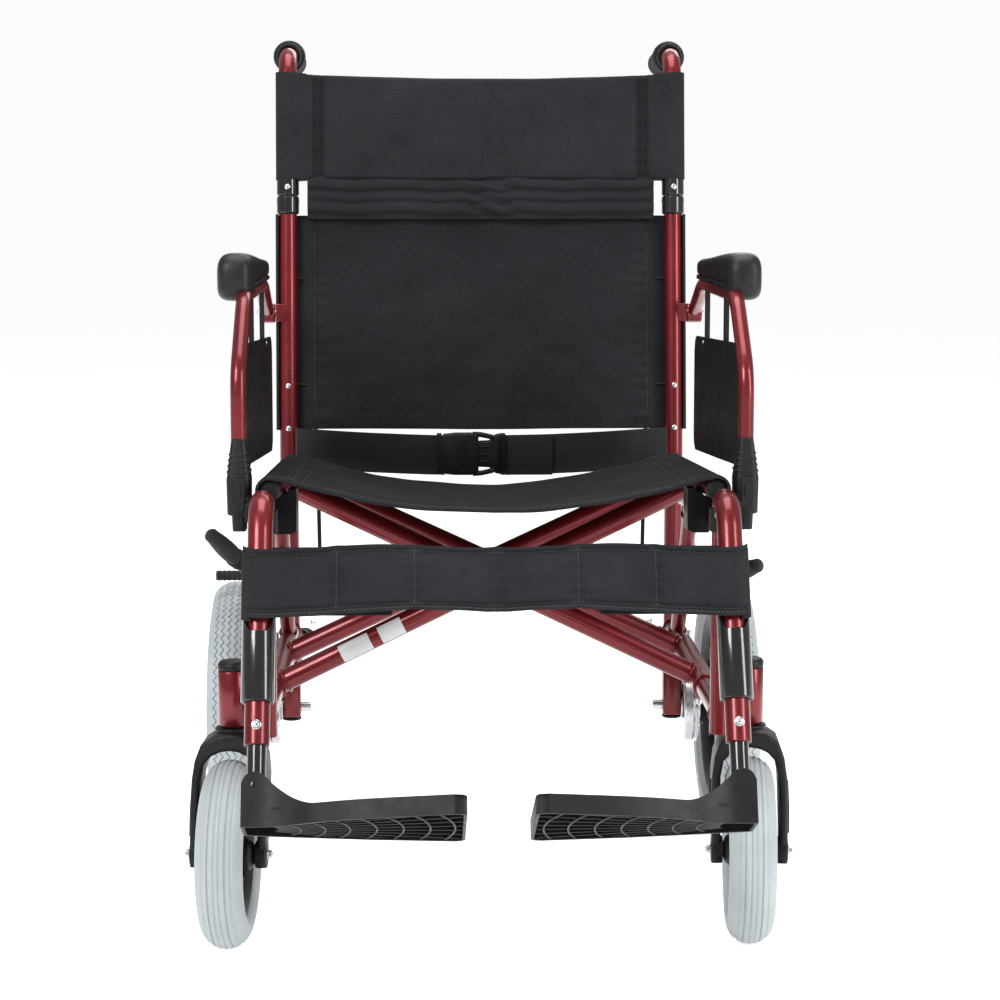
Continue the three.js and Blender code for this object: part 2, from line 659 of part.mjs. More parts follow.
function addFabric(chair) {
  const seat = groupAt(chair, 0, SEAT_LEVEL_Y, SEAT_TUBE.z, -Math.atan(SEAT_DROP));
  const seatSpan = [-37 - SEAT_LEVEL_Y, 432 - SEAT_LEVEL_Y];
  piece("seat_sling", "fabric", plateXZ(sag(244, 217, 38, CANE_R + 4.6, 4, 12), seatSpan), seat);
  const back = groupAt(chair, 0, REAR_POST_Y, RECLINE_FROM_Z, -RECLINE);
  const lowerSpan = [26, 290];
  const sheet = sag(246, 222, 8, -CANE_R - GAP - 0.3, 4, 10).map(([x, y]) => [x, -y]);
  piece("back_lower", "fabric", plateXY(sheet.reverse(), lowerSpan), back);
  const upper = box([-FRAME_X + CANE_R + 3.2, FRAME_X - CANE_R - 3.2], [-5, 5], [316, 466]);
  piece("back_upper", "fabric", upper, back);
  piece("lap_belt", "fabric", box([-224, 224], [449, 453], [454, 504]), chair);
  piece("belt_buckle", "blackPlastic", box([-56, 28], [434, 448.6], [452, 506]), chair);
}

function buildSide(chair, name, mirror, locked) {
  const side = new THREE.Group();
  side.scale.x = mirror;
  chair.add(side);
  piece("side_frame_" + name, "redPaint", sideFrame(), side);
  piece("seat_saddle_" + name, "blackPlastic", saddleGeometry(), side);
  addCaster(name, side, locked ? -CASTER_TURN : CASTER_TURN);
  addRearWheel(name, side);
  addHandle(name, side);
  addFootrest(name, side);
  addArmrest(name, side);
  addWheelLock(name, side, locked);
}

function buildWheelchair() {
  const wheelchair = new THREE.Group();
  const chair = groupAt(wheelchair, 0, -MID_Y, 0);
  buildSide(chair, "left", 1, true);
  buildSide(chair, "right", -1, false);
  piece("brace_a", "redPaint", braceLeg(BRACE_Y.a, 1), chair);
  piece("brace_b", "redPaint", braceLeg(BRACE_Y.b, -1), chair);
  const z = crossingZ();
  const boltSpan = [BRACE_Y.a[0] - 20, BRACE_Y.b[1] + 20];
  const bolt = join(
    rod([0, boltSpan[0], z], [0, boltSpan[1], z], 6, 12),
    rod([0, boltSpan[0] - 4, z], [0, boltSpan[0] + 6, z], 10, 6),
    rod([0, boltSpan[1] - 6, z], [0, boltSpan[1] + 4, z], 10, 6),
  );
  piece("brace_bolt", "steel", bolt, chair);
  addFabric(chair);
  return wheelchair;
}

export default buildWheelchair();
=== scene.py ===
from math import copysign, cos, exp, pi, radians, sin, sqrt, tan

import bmesh
import bpy
from mathutils import Matrix, Vector, noise


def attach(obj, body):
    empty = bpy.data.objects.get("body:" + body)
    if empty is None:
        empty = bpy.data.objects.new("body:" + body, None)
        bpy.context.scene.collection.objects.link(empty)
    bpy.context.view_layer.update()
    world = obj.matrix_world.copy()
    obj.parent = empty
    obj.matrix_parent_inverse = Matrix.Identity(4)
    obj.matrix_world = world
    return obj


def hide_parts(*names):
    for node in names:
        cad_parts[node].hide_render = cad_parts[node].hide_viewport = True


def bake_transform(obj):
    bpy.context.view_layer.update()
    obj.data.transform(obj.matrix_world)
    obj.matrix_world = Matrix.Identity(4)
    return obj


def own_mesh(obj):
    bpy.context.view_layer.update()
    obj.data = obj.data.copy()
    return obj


MID_Y = 192
FRAME_X = 238
FRONT_POST_Y = -45
REAR_POST_Y = 472
CANE_R = 11.1
RECLINE = radians(7.26)
RECLINE_FROM_Z = 480
BACK_HINGE_Z = 791
HANDLE_Z = 966
HANDLE_END_Y = 690
HANGER_SLOPE = radians(25)
FOOT_PIVOT = Vector((237, -213, 223))
SEAT_X = 232
SEAT_Z = 490
CROSSING_Z = 368.45
SEAT_DROP = 0.06
LOWER_RAIL_Z = 256
HANGER_PIN_Z = (452, 396)
SEAT_FLAT_X = 219
SEAT_SAG = 37
SEAT_FRONT_Y = -37
SEAT_REAR_Y = 432
UPPER_RAIL_Z = 456
REAR_WHEEL_X = 306
REAR_AXLE_Z = 157.5
UPPER_BACK_X = 252.6
SEAT_LEVEL_Y = 29
CASTER_X = 278
CASTER_Y = 45
CASTER_AXLE = (0, 45, 100)
CASTER_TURN = radians(4)
SIDES = (("left", 1), ("right", -1))

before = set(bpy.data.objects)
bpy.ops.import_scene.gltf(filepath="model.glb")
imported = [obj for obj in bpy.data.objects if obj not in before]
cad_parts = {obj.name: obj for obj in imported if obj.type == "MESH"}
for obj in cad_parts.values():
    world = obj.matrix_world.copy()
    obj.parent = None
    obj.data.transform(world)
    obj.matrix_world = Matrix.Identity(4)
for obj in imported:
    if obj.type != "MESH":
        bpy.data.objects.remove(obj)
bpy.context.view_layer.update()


def frame_point(v):
    return Vector((v[0], v[1] - MID_Y, v[2])) / 1000


def cane_y(z):
    return REAR_POST_Y + max(0, z - RECLINE_FROM_Z) * tan(RECLINE)


def dropped(z, y):
    """Height at y of a line that falls to the rear with the seat."""
    return z - SEAT_DROP * (y - SEAT_LEVEL_Y)


FALL = Matrix(((1, 0, 0, 0), (0, 1, 0, 0), (0, -SEAT_DROP, 1, SEAT_DROP * SEAT_LEVEL_Y), (0, 0, 0, 1)))


def ease(low, high, x):
    """0 below low, 1 above high, and smooth between them."""
    t = min(1, max(0, (x - low) / (high - low)))
    return t * t * (3 - 2 * t)


# Camera: about 2.6 m in front, a little right of the middle and looking down at the seat.
lens_mm = 89.46
camera = bpy.data.objects.new("camera", bpy.data.cameras.new("camera"))
camera.data.lens = lens_mm
camera.location = (-0.0736, -2.7767, 0.8167)
camera.rotation_euler = (radians(82.56), 0, radians(-1.8))
bpy.context.collection.objects.link(camera)
bpy.context.scene.camera = camera
bpy.context.scene.view_settings.view_transform = "Standard"


# Materials.
class Look:
    """A Principled material whose detail comes from procedural nodes in object space."""

    def __init__(self, name, **sockets):
        self.material = bpy.data.materials.new(name)
        self.material.use_nodes = True
        self.tree = self.material.node_tree
        self.shader = self.tree.nodes["Principled BSDF"]
        for key, value in sockets.items():
            self.shader.inputs[key.replace("_", " ")].default_value = value
        self.coordinates = self.node("ShaderNodeTexCoord").outputs["Object"]

    def node(self, kind, sockets=None, **settings):
        made = self.tree.nodes.new(kind)
        for key, value in settings.items():
            setattr(made, key, value)
        for key, value in (sockets or {}).items():
            if isinstance(value, bpy.types.NodeSocket):
                self.tree.links.new(value, made.inputs[key])
            else:
                made.inputs[key].default_value = value
        return made

    def math(self, operation, a, b=0.0, clamp=False):
        return self.node("ShaderNodeMath", {0: a, 1: b}, operation=operation, use_clamp=clamp).outputs[0]

    def noise(self, scale, detail=3.0, rough=0.55):
        sockets = {"Vector": self.coordinates, "Scale": scale, "Detail": detail, "Roughness": rough}
        return self.node("ShaderNodeTexNoise", sockets).outputs["Fac"]

    def spread(self, fac, low, high, to_low, to_high):
        sockets = {"Value": fac, "From Min": low, "From Max": high, "To Min": to_low, "To Max": to_high}
        return self.node("ShaderNodeMapRange", sockets).outputs["Result"]

    def colour(self, fac, dark, light):
        mix = self.node("ShaderNodeMix", {"Factor": fac}, data_type="RGBA")
        mix.inputs["A"].default_value = (*dark, 1)
        mix.inputs["B"].default_value = (*light, 1)
        self.tree.links.new(mix.outputs["Result"], self.shader.inputs["Base Color"])

    def roughness(self, fac, low, high):
        self.tree.links.new(self.spread(fac, 0.3, 0.7, low, high), self.shader.inputs["Roughness"])

    def bump(self, *heights):
        """heights are (socket, strength, distance in metres), laid over each other."""
        normal = None
        for height, strength, distance in heights:
            sockets = {"Height": height, "Strength": strength, "Distance": distance}
            if normal is not None:
                sockets["Normal"] = normal
            normal = self.node("ShaderNodeBump", sockets).outputs["Normal"]
        self.tree.links.new(normal, self.shader.inputs["Normal"])

    def axis(self, name):
        return self.node("ShaderNodeSeparateXYZ", {0: self.coordinates}).outputs[name]


def moulded(name, dark, light, rough, grain, depth, **sockets):
    """Plastic, rubber or metal with a fine grain, patchy gloss and slight colour change."""
    look = Look(name, **sockets)
    broad = look.noise(18)
    look.colour(look.spread(broad, 0.3, 0.7, 0, 1), dark, light)
    look.roughness(look.noise(60, 6), *rough)
    look.bump((look.noise(grain, 2), 0.35, depth), (look.noise(220, 2), 0.12, depth))
    return look.material


def woven(name, across, along, pitch, dark, light, crease=0.0014):
    """Cloth of threads that cross over and under each other, with soft creases; its colour holds painted
    shade and highlight on the threads and painted sheen and crease shade in broad patches.
    """
    look = Look(name, Specular_IOR_Level=0.12)
    turns = 2 * pi / pitch
    warp = look.math("SINE", look.math("MULTIPLY", look.axis(across), turns))
    weft = look.math("SINE", look.math("MULTIPLY", look.axis(along), turns))
    cross = look.math("MULTIPLY", warp, weft)
    thread = look.math("ADD", look.math("MULTIPLY", cross, 0.5), 0.5)
    # Painted sheen and crease shade: a broad noise that lightens and darkens the cloth in patches.
    sheen_and_crease_shade = look.noise(9, 4)
    # Painted shade where the threads dip and painted highlight where they rise, laid over the painted sheen
    # and crease shade.
    shade = look.math("ADD", look.math("MULTIPLY", thread, 0.55), look.math("MULTIPLY", sheen_and_crease_shade, 0.45))
    look.colour(shade, dark, light)
    look.roughness(look.noise(40, 3), 0.72, 0.9)
    look.bump((look.noise(13, 2, 0.4), 0.8, crease), (thread, 0.8, pitch * 0.35))
    return look.material


def webbing(name, across, pitch):
    """Flat strap with ribs that run along it; its colour holds painted shade between the ribs and painted
    highlight on them.
    """
    look = Look(name, Specular_IOR_Level=0.15)
    turns = 2 * pi / pitch
    rib = look.math("SINE", look.math("MULTIPLY", look.axis(across), turns))
    pick = look.math("SINE", look.math("MULTIPLY", look.axis("X"), turns * 1.7))
    height = look.math("ADD", look.math("MULTIPLY", rib, 0.35), look.math("MULTIPLY", pick, 0.15))
    # Painted shade in the grooves and painted highlight on the ribs: the colour follows the rib height.
    look.colour(look.math("ADD", height, 0.5), (0.006, 0.006, 0.007), (0.026, 0.027, 0.03))
    look.roughness(look.noise(50, 3), 0.55, 0.75)
    look.bump((height, 0.5, 0.0004))
    return look.material


def candy_paint():
    """Deep red powder coat with fine flake under a clear coat."""
    look = Look("red_paint", Metallic=0.55, Coat_Weight=0.35, Coat_Roughness=0.08)
    flake = look.noise(2600, 1)
    broad = look.noise(7)
    shade = look.math("ADD", look.math("MULTIPLY", flake, 0.5), look.math("MULTIPLY", broad, 0.5))
    look.colour(look.spread(shade, 0.35, 0.65, 0, 1), (0.11, 0.0035, 0.006), (0.2, 0.009, 0.014))
    look.roughness(look.noise(80, 4), 0.27, 0.4)
    look.bump((look.noise(420, 1), 0.1, 0.00035))
    return look.material


def brushed_steel():
    look = Look("bright_steel", Metallic=1.0)
    look.colour(look.noise(30), (0.5, 0.51, 0.53), (0.74, 0.75, 0.77))
    look.roughness(look.noise(140, 5), 0.16, 0.36)
    look.bump((look.noise(900, 2), 0.15, 0.0002))
    return look.material


PAINT = candy_paint()
STEEL = brushed_steel()
PLASTIC = moulded(
    "black_plastic", (0.0045, 0.0045, 0.005), (0.009, 0.009, 0.01),
    (0.36, 0.52), 1500, 0.0004, Specular_IOR_Level=0.28,
)
GLOSS = moulded(
    "gloss_black", (0.005, 0.005, 0.006), (0.011, 0.011, 0.012),
    (0.1, 0.2), 500, 0.0001, Coat_Weight=0.4,
)
GREY_RUBBER = moulded("grey_rubber", (0.33, 0.365, 0.38), (0.41, 0.445, 0.46), (0.55, 0.72), 900, 0.0004)
SOFT_GRIP = moulded(
    "grip", (0.011, 0.011, 0.012), (0.02, 0.02, 0.021),
    (0.6, 0.78), 1100, 0.0006, Specular_IOR_Level=0.3,
)
PAD_SKIN = moulded(
    "pad", (0.004, 0.004, 0.005), (0.007, 0.007, 0.008),
    (0.38, 0.5), 1300, 0.0005, Specular_IOR_Level=0.35,
)
SEAT_CLOTH = woven("seat_cloth", "X", "Y", 0.0028, (0.003, 0.0035, 0.0045), (0.034, 0.037, 0.041))
BACK_CLOTH = woven("back_cloth", "X", "Z", 0.0028, (0.003, 0.0035, 0.0045), (0.034, 0.037, 0.041))
STRAP = webbing("webbing", "Z", 0.0024)
THREAD = moulded("thread", (0.03, 0.031, 0.034), (0.055, 0.057, 0.061), (0.6, 0.8), 900, 0.0002)
PLATE_LABEL = moulded("blank_plate", (0.55, 0.56, 0.57), (0.72, 0.73, 0.74), (0.3, 0.42), 600, 0.0001)


# Shapes. A shape gathers closed shells of vertices in chair millimetres.
def rounded_path(points, bend):
    """The points with each inner corner replaced by an arc-like curve that starts bend mm from it."""
    points = [Vector(p) for p in points]
    out = [points[0]]
    for before, corner, after in zip(points, points[1:], points[2:]):
        a = corner + (before - corner).normalized() * bend
        b = corner + (after - corner).normalized() * bend
        for i in range(9):
            t = i / 8
            out.append(a * (1 - t) ** 2 + corner * 2 * t * (1 - t) + b * t * t)
    out.append(points[-1])
    return out


def smooth_path(points, steps=6):
    """A Catmull-Rom curve through the points."""
    p = [Vector(q) for q in points]
    p = [p[0] * 2 - p[1], *p, p[-1] * 2 - p[-2]]
    out = []
    for a, b, c, d in zip(p, p[1:], p[2:], p[3:]):
        for i in range(steps):
            t = i / steps
            curve = b * 2 + (c - a) * t + (a * 2 - b * 5 + c * 4 - d) * t * t
            curve += (b * 3 - a - c * 3 + d) * t ** 3
            out.append(curve / 2)
    out.append(p[-2])
    return out


def soft_box(centre, u, v, half_u, half_v, corner, steps=4):
    """A ring of points round a rectangle with round corners, in the plane of u and v."""
    ring = []
    for quarter, (su, sv) in enumerate(((1, 1), (-1, 1), (-1, -1), (1, -1))):
        for i in range(steps + 1):
            angle = pi / 2 * (quarter + i / steps)
            a = su * (half_u - corner) + corner * cos(angle)
            b = sv * (half_v - corner) + corner * sin(angle)
            ring.append(Vector(centre) + u * a + v * b)
    return ring


X = Vector((1, 0, 0))
Y = Vector((0, 1, 0))
Z = Vector((0, 0, 1))


def around(count):
    """Angles of count even steps round a circle."""
    return [2 * pi * i / count for i in range(count)]


class Shape:
    def __init__(self):
        self.verts = []
        self.faces = []

    def loft(self, rings, closed=False):
        """Skins rings of equal length. Its ends are capped, unless the rings close on themselves."""
        base = len(self.verts)
        n = len(rings[0])
        for ring in rings:
            self.verts += [Vector(p) for p in ring]
        count = len(rings)
        for i in range(count if closed else count - 1):
            for j in range(n):
                k = (j + 1) % n
                a = base + i * n
                b = base + (i + 1) % count * n
                self.faces.append((a + j, a + k, b + k, b + j))
        if not closed:
            self.faces.append(tuple(base + j for j in reversed(range(n))))
            self.faces.append(tuple(base + (count - 1) * n + j for j in range(n)))
        return self

    def tube(self, path, radius, sides=28, squash=1.0):
        """A tube along a path. radius is one number or a function of 0 to 1 along it."""
        path = [Vector(p) for p in path]
        radius_at = radius if callable(radius) else lambda t: radius
        lengths = [0.0]
        for a, b in zip(path, path[1:]):
            lengths.append(lengths[-1] + (b - a).length)
        tangent = (path[1] - path[0]).normalized()
        side = (tangent.orthogonal() if abs(tangent.x) > 0.9 else X - tangent * tangent.x).normalized()
        rings = []
        for i, p in enumerate(path):
            ahead = path[min(i + 1, len(path) - 1)] - path[max(i - 1, 0)]
            tangent = ahead.normalized()
            side = (side - tangent * side.dot(tangent)).normalized()
            up = tangent.cross(side)
            r = radius_at(lengths[i] / lengths[-1])
            rings.append([p + side * (r * cos(t)) + up * (r * squash * sin(t)) for t in around(sides)])
        return self.loft(rings)

    def rod(self, a, b, radius, sides=28):
        return self.tube([a, b], radius, sides)

    def turned(self, profile, origin, axis, segments=48, ring=False):
        """Turns [along, radius] points round an axis. ring closes the profile on itself."""
        axis = Vector(axis).normalized()
        side = axis.orthogonal().normalized()
        up = axis.cross(side)
        rings = []
        for along, r in profile:
            at = Vector(origin) + axis * along
            rings.append([at + side * (r * cos(t)) + up * (r * sin(t)) for t in around(segments)])
        return self.loft(rings, closed=ring)

    def torus(self, origin, axis, radius, thick, segments=32):
        profile = [(thick * sin(t), radius + thick * cos(t)) for t in around(10)]
        return self.turned(profile, origin, axis, segments, ring=True)

    def dome(self, origin, axis, radius, height, segments=28):
        """A low round head that stands on a plane."""
        profile = [(-0.5, radius), (height * 0.25, radius)]
        for i in range(1, 6):
            t = pi / 2 * i / 6
            profile.append((height * (0.25 + 0.75 * sin(t)), radius * cos(t)))
        return self.turned(profile, origin, axis, segments)

    def hex_bolt(self, origin, axis, across, height):
        """A hexagon head with a washer under it."""
        self.turned([(0, across * 0.72), (1.2, across * 0.72)], origin, axis, 28)
        self.turned([(1.2, across * 0.58), (height, across * 0.58)], origin, axis, 6)
        top = Vector(origin) + Vector(axis).normalized() * (height - 0.6)
        return self.dome(top, axis, across * 0.3, 2.2, 16)

    def box(self, x, y, z):
        section = ((y[0], z[0]), (y[1], z[0]), (y[1], z[1]), (y[0], z[1]))
        return self.loft([[(end, b, c) for b, c in section] for end in x])

    def plate(self, outline, low, high, place):
        """An outline [[a, b], ...] made solid from low to high; place(a, b, height) gives each point."""
        return self.loft([[place(a, b, h) for a, b in outline] for h in (low, high)])

    def moved(self, matrix):
        self.verts = [matrix @ v for v in self.verts]
        return self

    def plus(self, other):
        base = len(self.verts)
        self.verts += other.verts
        self.faces += [tuple(base + i for i in face) for face in other.faces]
        return self


# The library slot of each material.
SLOT_OF = {look: look for look in ("red_paint", "black_plastic", "gloss_black", "grip", "pad", "webbing")}
SLOT_OF |= {"bright_steel": "steel", "blank_plate": "steel", "grey_rubber": "grey_tyre", "thread": "webbing"}
SLOT_OF |= {"seat_cloth": "seat_fabric", "back_cloth": "seat_fabric"}


def make(name, shape, look, body, replaces=(), slot=None, bevel=0.7, sharp=38, side=1, levels=0):
    """Makes a piece of a shape, mirrored where side is -1, and sets it on its body."""
    mesh = bpy.data.meshes.new(name)
    verts = [frame_point((v[0] * side, v[1], v[2])) for v in shape.verts]
    mesh.from_pydata(verts, [], [list(f) for f in shape.faces])
    shell = bmesh.new()
    shell.from_mesh(mesh)
    bmesh.ops.recalc_face_normals(shell, faces=shell.faces)
    shell.to_mesh(mesh)
    shell.free()
    mesh.materials.append(look)
    mesh.shade_smooth()
    if levels == 0:
        mesh.set_sharp_from_angle(angle=radians(sharp))
    piece = bpy.data.objects.new(name, mesh)
    bpy.context.collection.objects.link(piece)
    if bevel:
        rounding = piece.modifiers.new("edges", "BEVEL")
        rounding.width = bevel / 1000
        rounding.segments = 2
        rounding.limit_method = "ANGLE"
        rounding.angle_limit = radians(sharp)
        rounding.harden_normals = False
    if levels:
        fine = piece.modifiers.new("fine", "SUBSURF")
        fine.levels = fine.render_levels = levels
    if body:
        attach(piece, body)
    if replaces:
        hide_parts(*([replaces] if isinstance(replaces, str) else replaces))
    return piece


def both(name, shape_of, look, body, replaces=(), slot=None, **options):
    """One mirrored pair of pieces. body and replaces take the side's name in place of *."""
    made = {}
    for side, s in SIDES:
        nodes = [n.replace("*", side) for n in ([replaces] if isinstance(replaces, str) else replaces)]
        where = body.replace("*", side)
        made[side] = make(f"{name}_{side}", shape_of(), look, where, nodes, slot, side=s, **options)
    return made


# Side frames.
def side_frame():
    shape = Shape()
    shape.rod((FRAME_X, FRONT_POST_Y, 238), (FRAME_X, FRONT_POST_Y, 480), 12.5)
    for z, slope in ((LOWER_RAIL_Z, Matrix()), (UPPER_RAIL_Z, FALL)):
        rail = Shape().rod((FRAME_X, FRONT_POST_Y, z), (FRAME_X, REAR_POST_Y, z), 11)
        rail.torus((FRAME_X, FRONT_POST_Y + 13, z), Y, 11.4, 1.9)
        rail.torus((FRAME_X, REAR_POST_Y - 11.4, z), Y, 11.4, 1.9)
        shape.plus(rail.moved(slope))
    top = BACK_HINGE_Z - 22
    cane = [(FRAME_X, REAR_POST_Y, 200), (FRAME_X, REAR_POST_Y, RECLINE_FROM_Z), (FRAME_X, cane_y(top), top)]
    shape.tube(rounded_path(cane, 40), CANE_R, 32)
    ring = []
    for z, grow in ((146, -1.5), (148, 0), (214, 0), (222, -4)):
        ring.append(soft_box((FRAME_X, REAR_POST_Y, z), X, Y, 11.5 + grow, 13 + grow, 4))
    shape.loft(ring)
    shape.torus((FRAME_X, REAR_POST_Y, 218), Z, 11.6, 2)
    lever = [(FRAME_X, 468, 236), (FRAME_X - 8, 512, 236), (FRAME_X - 14, 584, 224)]
    shape.tube(rounded_path(lever, 20), 8.8)
    shape.torus((FRAME_X - 1, 483, 236), Y, 9, 2)
    shape.rod((FRAME_X, 412, LOWER_RAIL_Z), (FRAME_X, 268, dropped(450, 268)), 9)
    shape.torus((FRAME_X, 405, 265), (0, -144, 194), 9.6, 1.8)
    shape.torus((FRAME_X, 276, 425), (0, -144, 194), 9.6, 1.8)
    shape.turned([(230, 15), (231.5, 16), (289.5, 16), (291, 15)], (CASTER_X, CASTER_Y, 0), Z, 40)
    shape.box((FRAME_X, 265), (38, 52), (236, 286))
    shape.box((FRAME_X + 4, 253), (482, 498), (638, 660))
    shape.box((FRAME_X - 16, FRAME_X - 1), (388, 412), (434, 455))
    shape.box((FRAME_X + 6, FRAME_X + 18), (292, 346), (318, 352))
    shape.rod((FRAME_X + 12, 335, 338), (FRAME_X, 335, dropped(UPPER_RAIL_Z, 335)), 6)
    for z in HANGER_PIN_Z:
        shape.box((FRAME_X - 9, FRAME_X + 9), (-83, FRONT_POST_Y), (z - 6, z))
    return shape


both("side_frame", side_frame, PAINT, "frame_*", "side_frame_*")


def frame_steel():
    shape = Shape()
    shape.rod((253, 494, 648), (274, 494, 648), 5)
    shape.dome((274, 494, 648), X, 5, 2.5)
    for z in HANGER_PIN_Z:
        shape.rod((FRAME_X, -74, z - 3), (FRAME_X, -74, z + 24), 5)
        shape.dome((FRAME_X, -74, z + 24), Z, 5, 2)
    shape.hex_bolt((FRAME_X + 18, 298, 345), X, 6, 5)
    for z in (508, 560):
        shape.dome((FRAME_X, cane_y(z) - 10.6, z), -Y, 3.4, 2)
    shape.hex_bolt((FRAME_X - 7, -57, 470), -Y, 5.5, 6)
    shape.hex_bolt((FRAME_X - 16, 400, 444), -X, 5.5, 5)
    shape.hex_bolt((FRAME_X - 24, 486, 262), -X, 5, 5)
    return shape


both("frame_bolts", frame_steel, STEEL, "frame_*", bevel=0.4)


def frame_plastic():
    """End plugs, the tipping lever's ribbed cap and the cable's clips."""
    shape = Shape()
    shape.dome((FRAME_X, FRONT_POST_Y, 480), Z, 12.5, 5)
    shape.turned([(0, 9), (0.5, 12), (3, 12), (4, 11)], (FRAME_X, REAR_POST_Y, 145.6), -Z, 24)
    tip = [(FRAME_X - 9.5, 522, 234.5), (FRAME_X - 12, 560, 228), (FRAME_X - 14.2, 587, 223.6)]
    shape.tube(smooth_path(tip, 5), lambda t: 11.5 + 1.6 * sin(pi * t) - 2.5 * max(0, t - 0.9) * 10)
    for i in range(5):
        t = i / 5
        at = Vector(tip[0]).lerp(Vector(tip[2]), 0.25 + 0.6 * t)
        shape.torus(at, Vector(tip[2]) - Vector(tip[0]), 12.2, 1.4)
    for z in (690, 560, 440):
        shape.torus((FRAME_X - 13, cane_y(z) + 22, z), Z, 15, 1.5)
    return shape


both("frame_caps", frame_plastic, PLASTIC, "frame_*")


def caster_cap():
    shape = Shape()
    shape.turned([(291.4, 15.2), (292, 16), (297, 16), (299, 14.8)], (CASTER_X, CASTER_Y, 0), Z, 40)
    return shape.dome((CASTER_X, CASTER_Y, 298.5), Z, 14.6, 3.4, 40)


both("caster_cap", caster_cap, PLASTIC, "frame_*", "caster_cap_*")


def back_hinge():
    low = BACK_HINGE_Z - 21.6
    axis = Vector((0, sin(RECLINE), cos(RECLINE)))
    at = Vector((FRAME_X, cane_y(low), low))
    profile = [(0, 12.4), (1.2, 13.6), (20.6, 13.6), (21.6, 12.8)]
    return Shape().turned(profile, at, axis, 40)


both("back_hinge", back_hinge, GLOSS, "frame_*", "back_hinge_*")


def back_rivets():
    y = cane_y(BACK_HINGE_Z)
    shape = Shape()
    for sign in (-1, 1):
        shape.dome((FRAME_X + sign * 12.6, y, BACK_HINGE_Z - 6), X * sign, 3.4, 1.6)
    return shape


both("back_rivet", back_rivets, STEEL, "frame_*", bevel=0)


def saddle():
    """The clip on the upper rail whose hooked top carries the seat tube."""
    profile = [(206, 444), (206, 489), (214, 489), (218.5, 483)]
    for i in range(9):
        t = pi * (1.02 + 0.62 * i / 8)
        profile.append((SEAT_X + 12.3 * cos(t), SEAT_Z + 12.3 * sin(t)))
    profile += [(245, 487), (251, 484), (251.3, 446), (247, 441)]
    for i in range(13):
        t = -0.25 * pi + 1.5 * pi * i / 12
        profile.append((FRAME_X + 11.6 * cos(t), UPPER_RAIL_Z + 11.6 * sin(t)))
    profile += [(229, 441), (212, 441)]
    return Shape().plate(profile, 8, 50, lambda a, b, h: (a, h, b)).moved(FALL)


both("seat_saddle", saddle, PLASTIC, "frame_*", "seat_saddle_*", bevel=1.2)


# Front casters, drawn with the stem at the origin and the wheel 45 mm from it along Y.
def fork():
    """An arched fork: its legs lean from the stem to the axle."""
    shape = Shape()
    path = [(-36, 88), (-36, 120), (-36, 160), (-35.6, 178), (-32.5, 196), (-25, 209), (-13, 216), (0, 218)]
    path += [(-x, z) for x, z in reversed(path[:-1])]
    rings = []
    for i, (x, z) in enumerate(path):
        a = path[max(i - 1, 0)]
        b = path[min(i + 1, len(path) - 1)]
        along = Vector((b[0] - a[0], 0, b[1] - a[1])).normalized()
        across = Y.cross(along)
        t = ease(100, 214, z)
        middle = 45 - 37 * t
        depth = 13.5 + 15 * t
        thick = 4.6 + 4.4 * ease(190, 216, z)
        rings.append(soft_box((x, middle, z), across, Y, thick, depth, 3.6))
    shape.loft(rings)
    shape.turned([(222, 18.5), (225, 19.5), (227.5, 19.5), (228.6, 18.5)], (0, 0, 0), Z, 40)
    shape.rod((0, 0, 222), (0, 0, 231), 11)
    for s in (-1, 1):
        shape.turned([(28.6, 14), (30, 15), (40, 15), (41, 13.5)], CASTER_AXLE, X * s, 32)
        rib = [(s * 40, 24, 172), (s * 40.8, 34, 146), (s * 40.4, 43, 118)]
        shape.tube(rib, 2.6, 10)
    return shape


def fork_bolts():
    shape = Shape()
    for s in (-1, 1):
        shape.hex_bolt((s * 41, 45, 100), X * s, 7.6, 5)
    return shape.rod((-38, 45, 100), (38, 45, 100), 5)


def caster_tyre():
    """A round tyre whose tread has six grooves running round it."""
    profile = [(-18, 66.4), (18, 66.4), (21, 68)]
    for i in range(61):
        t = pi * i / 60
        x = 25 * cos(t)
        r = 74.5 + 25.5 * sin(t) ** 0.92
        for at in (-15, -9, -3, 3, 9, 15):
            r -= 1.5 * max(0, 1 - ((x - at) / 1.05) ** 2)
        profile.append((x, r))
    profile.append((-21, 68))
    return Shape().turned(profile, CASTER_AXLE, X, 96, ring=True)


def wheel_rim(x, y, z, rim_r, half, hub_r, hub_x, spokes, width):
    """A moulded rim: a dished barrel, a hub and thick tapered spokes."""
    shape = Shape()
    barrel = [(-half, rim_r), (half, rim_r), (half - 1, rim_r - 4), (half * 0.6, rim_r - 12)]
    barrel += [(-half * 0.6, rim_r - 12), (-half + 1, rim_r - 4)]
    shape.turned(barrel, (x, y, z), X, 72, ring=True)
    profile = [(hub_x[0], hub_r * 0.45), (hub_x[0], hub_r * 0.8), (hub_x[0] + 4, hub_r)]
    profile += [(hub_x[1] - 6, hub_r), (hub_x[1] - 2, hub_r * 0.8), (hub_x[1], hub_r * 0.45)]
    shape.turned(profile, (x, y, z), X, 40)
    sections = [(hub_r - 3, 1.5, 0.62), (hub_r + 8, 1.05, 0.5)]
    sections += [(rim_r - 26, 0.9, 0.45), (rim_r - 9, 1.5, 0.62)]
    for i in range(spokes):
        turn = Matrix.Rotation(2 * pi * i / spokes, 4, "X")
        rings = [soft_box((0, 0, r), X, Y, half * thick, width * wide, 3) for r, wide, thick in sections]
        spoke = Shape().loft(rings).moved(Matrix.Translation((x, y, z)) @ turn)
        shape.plus(spoke)
    return shape


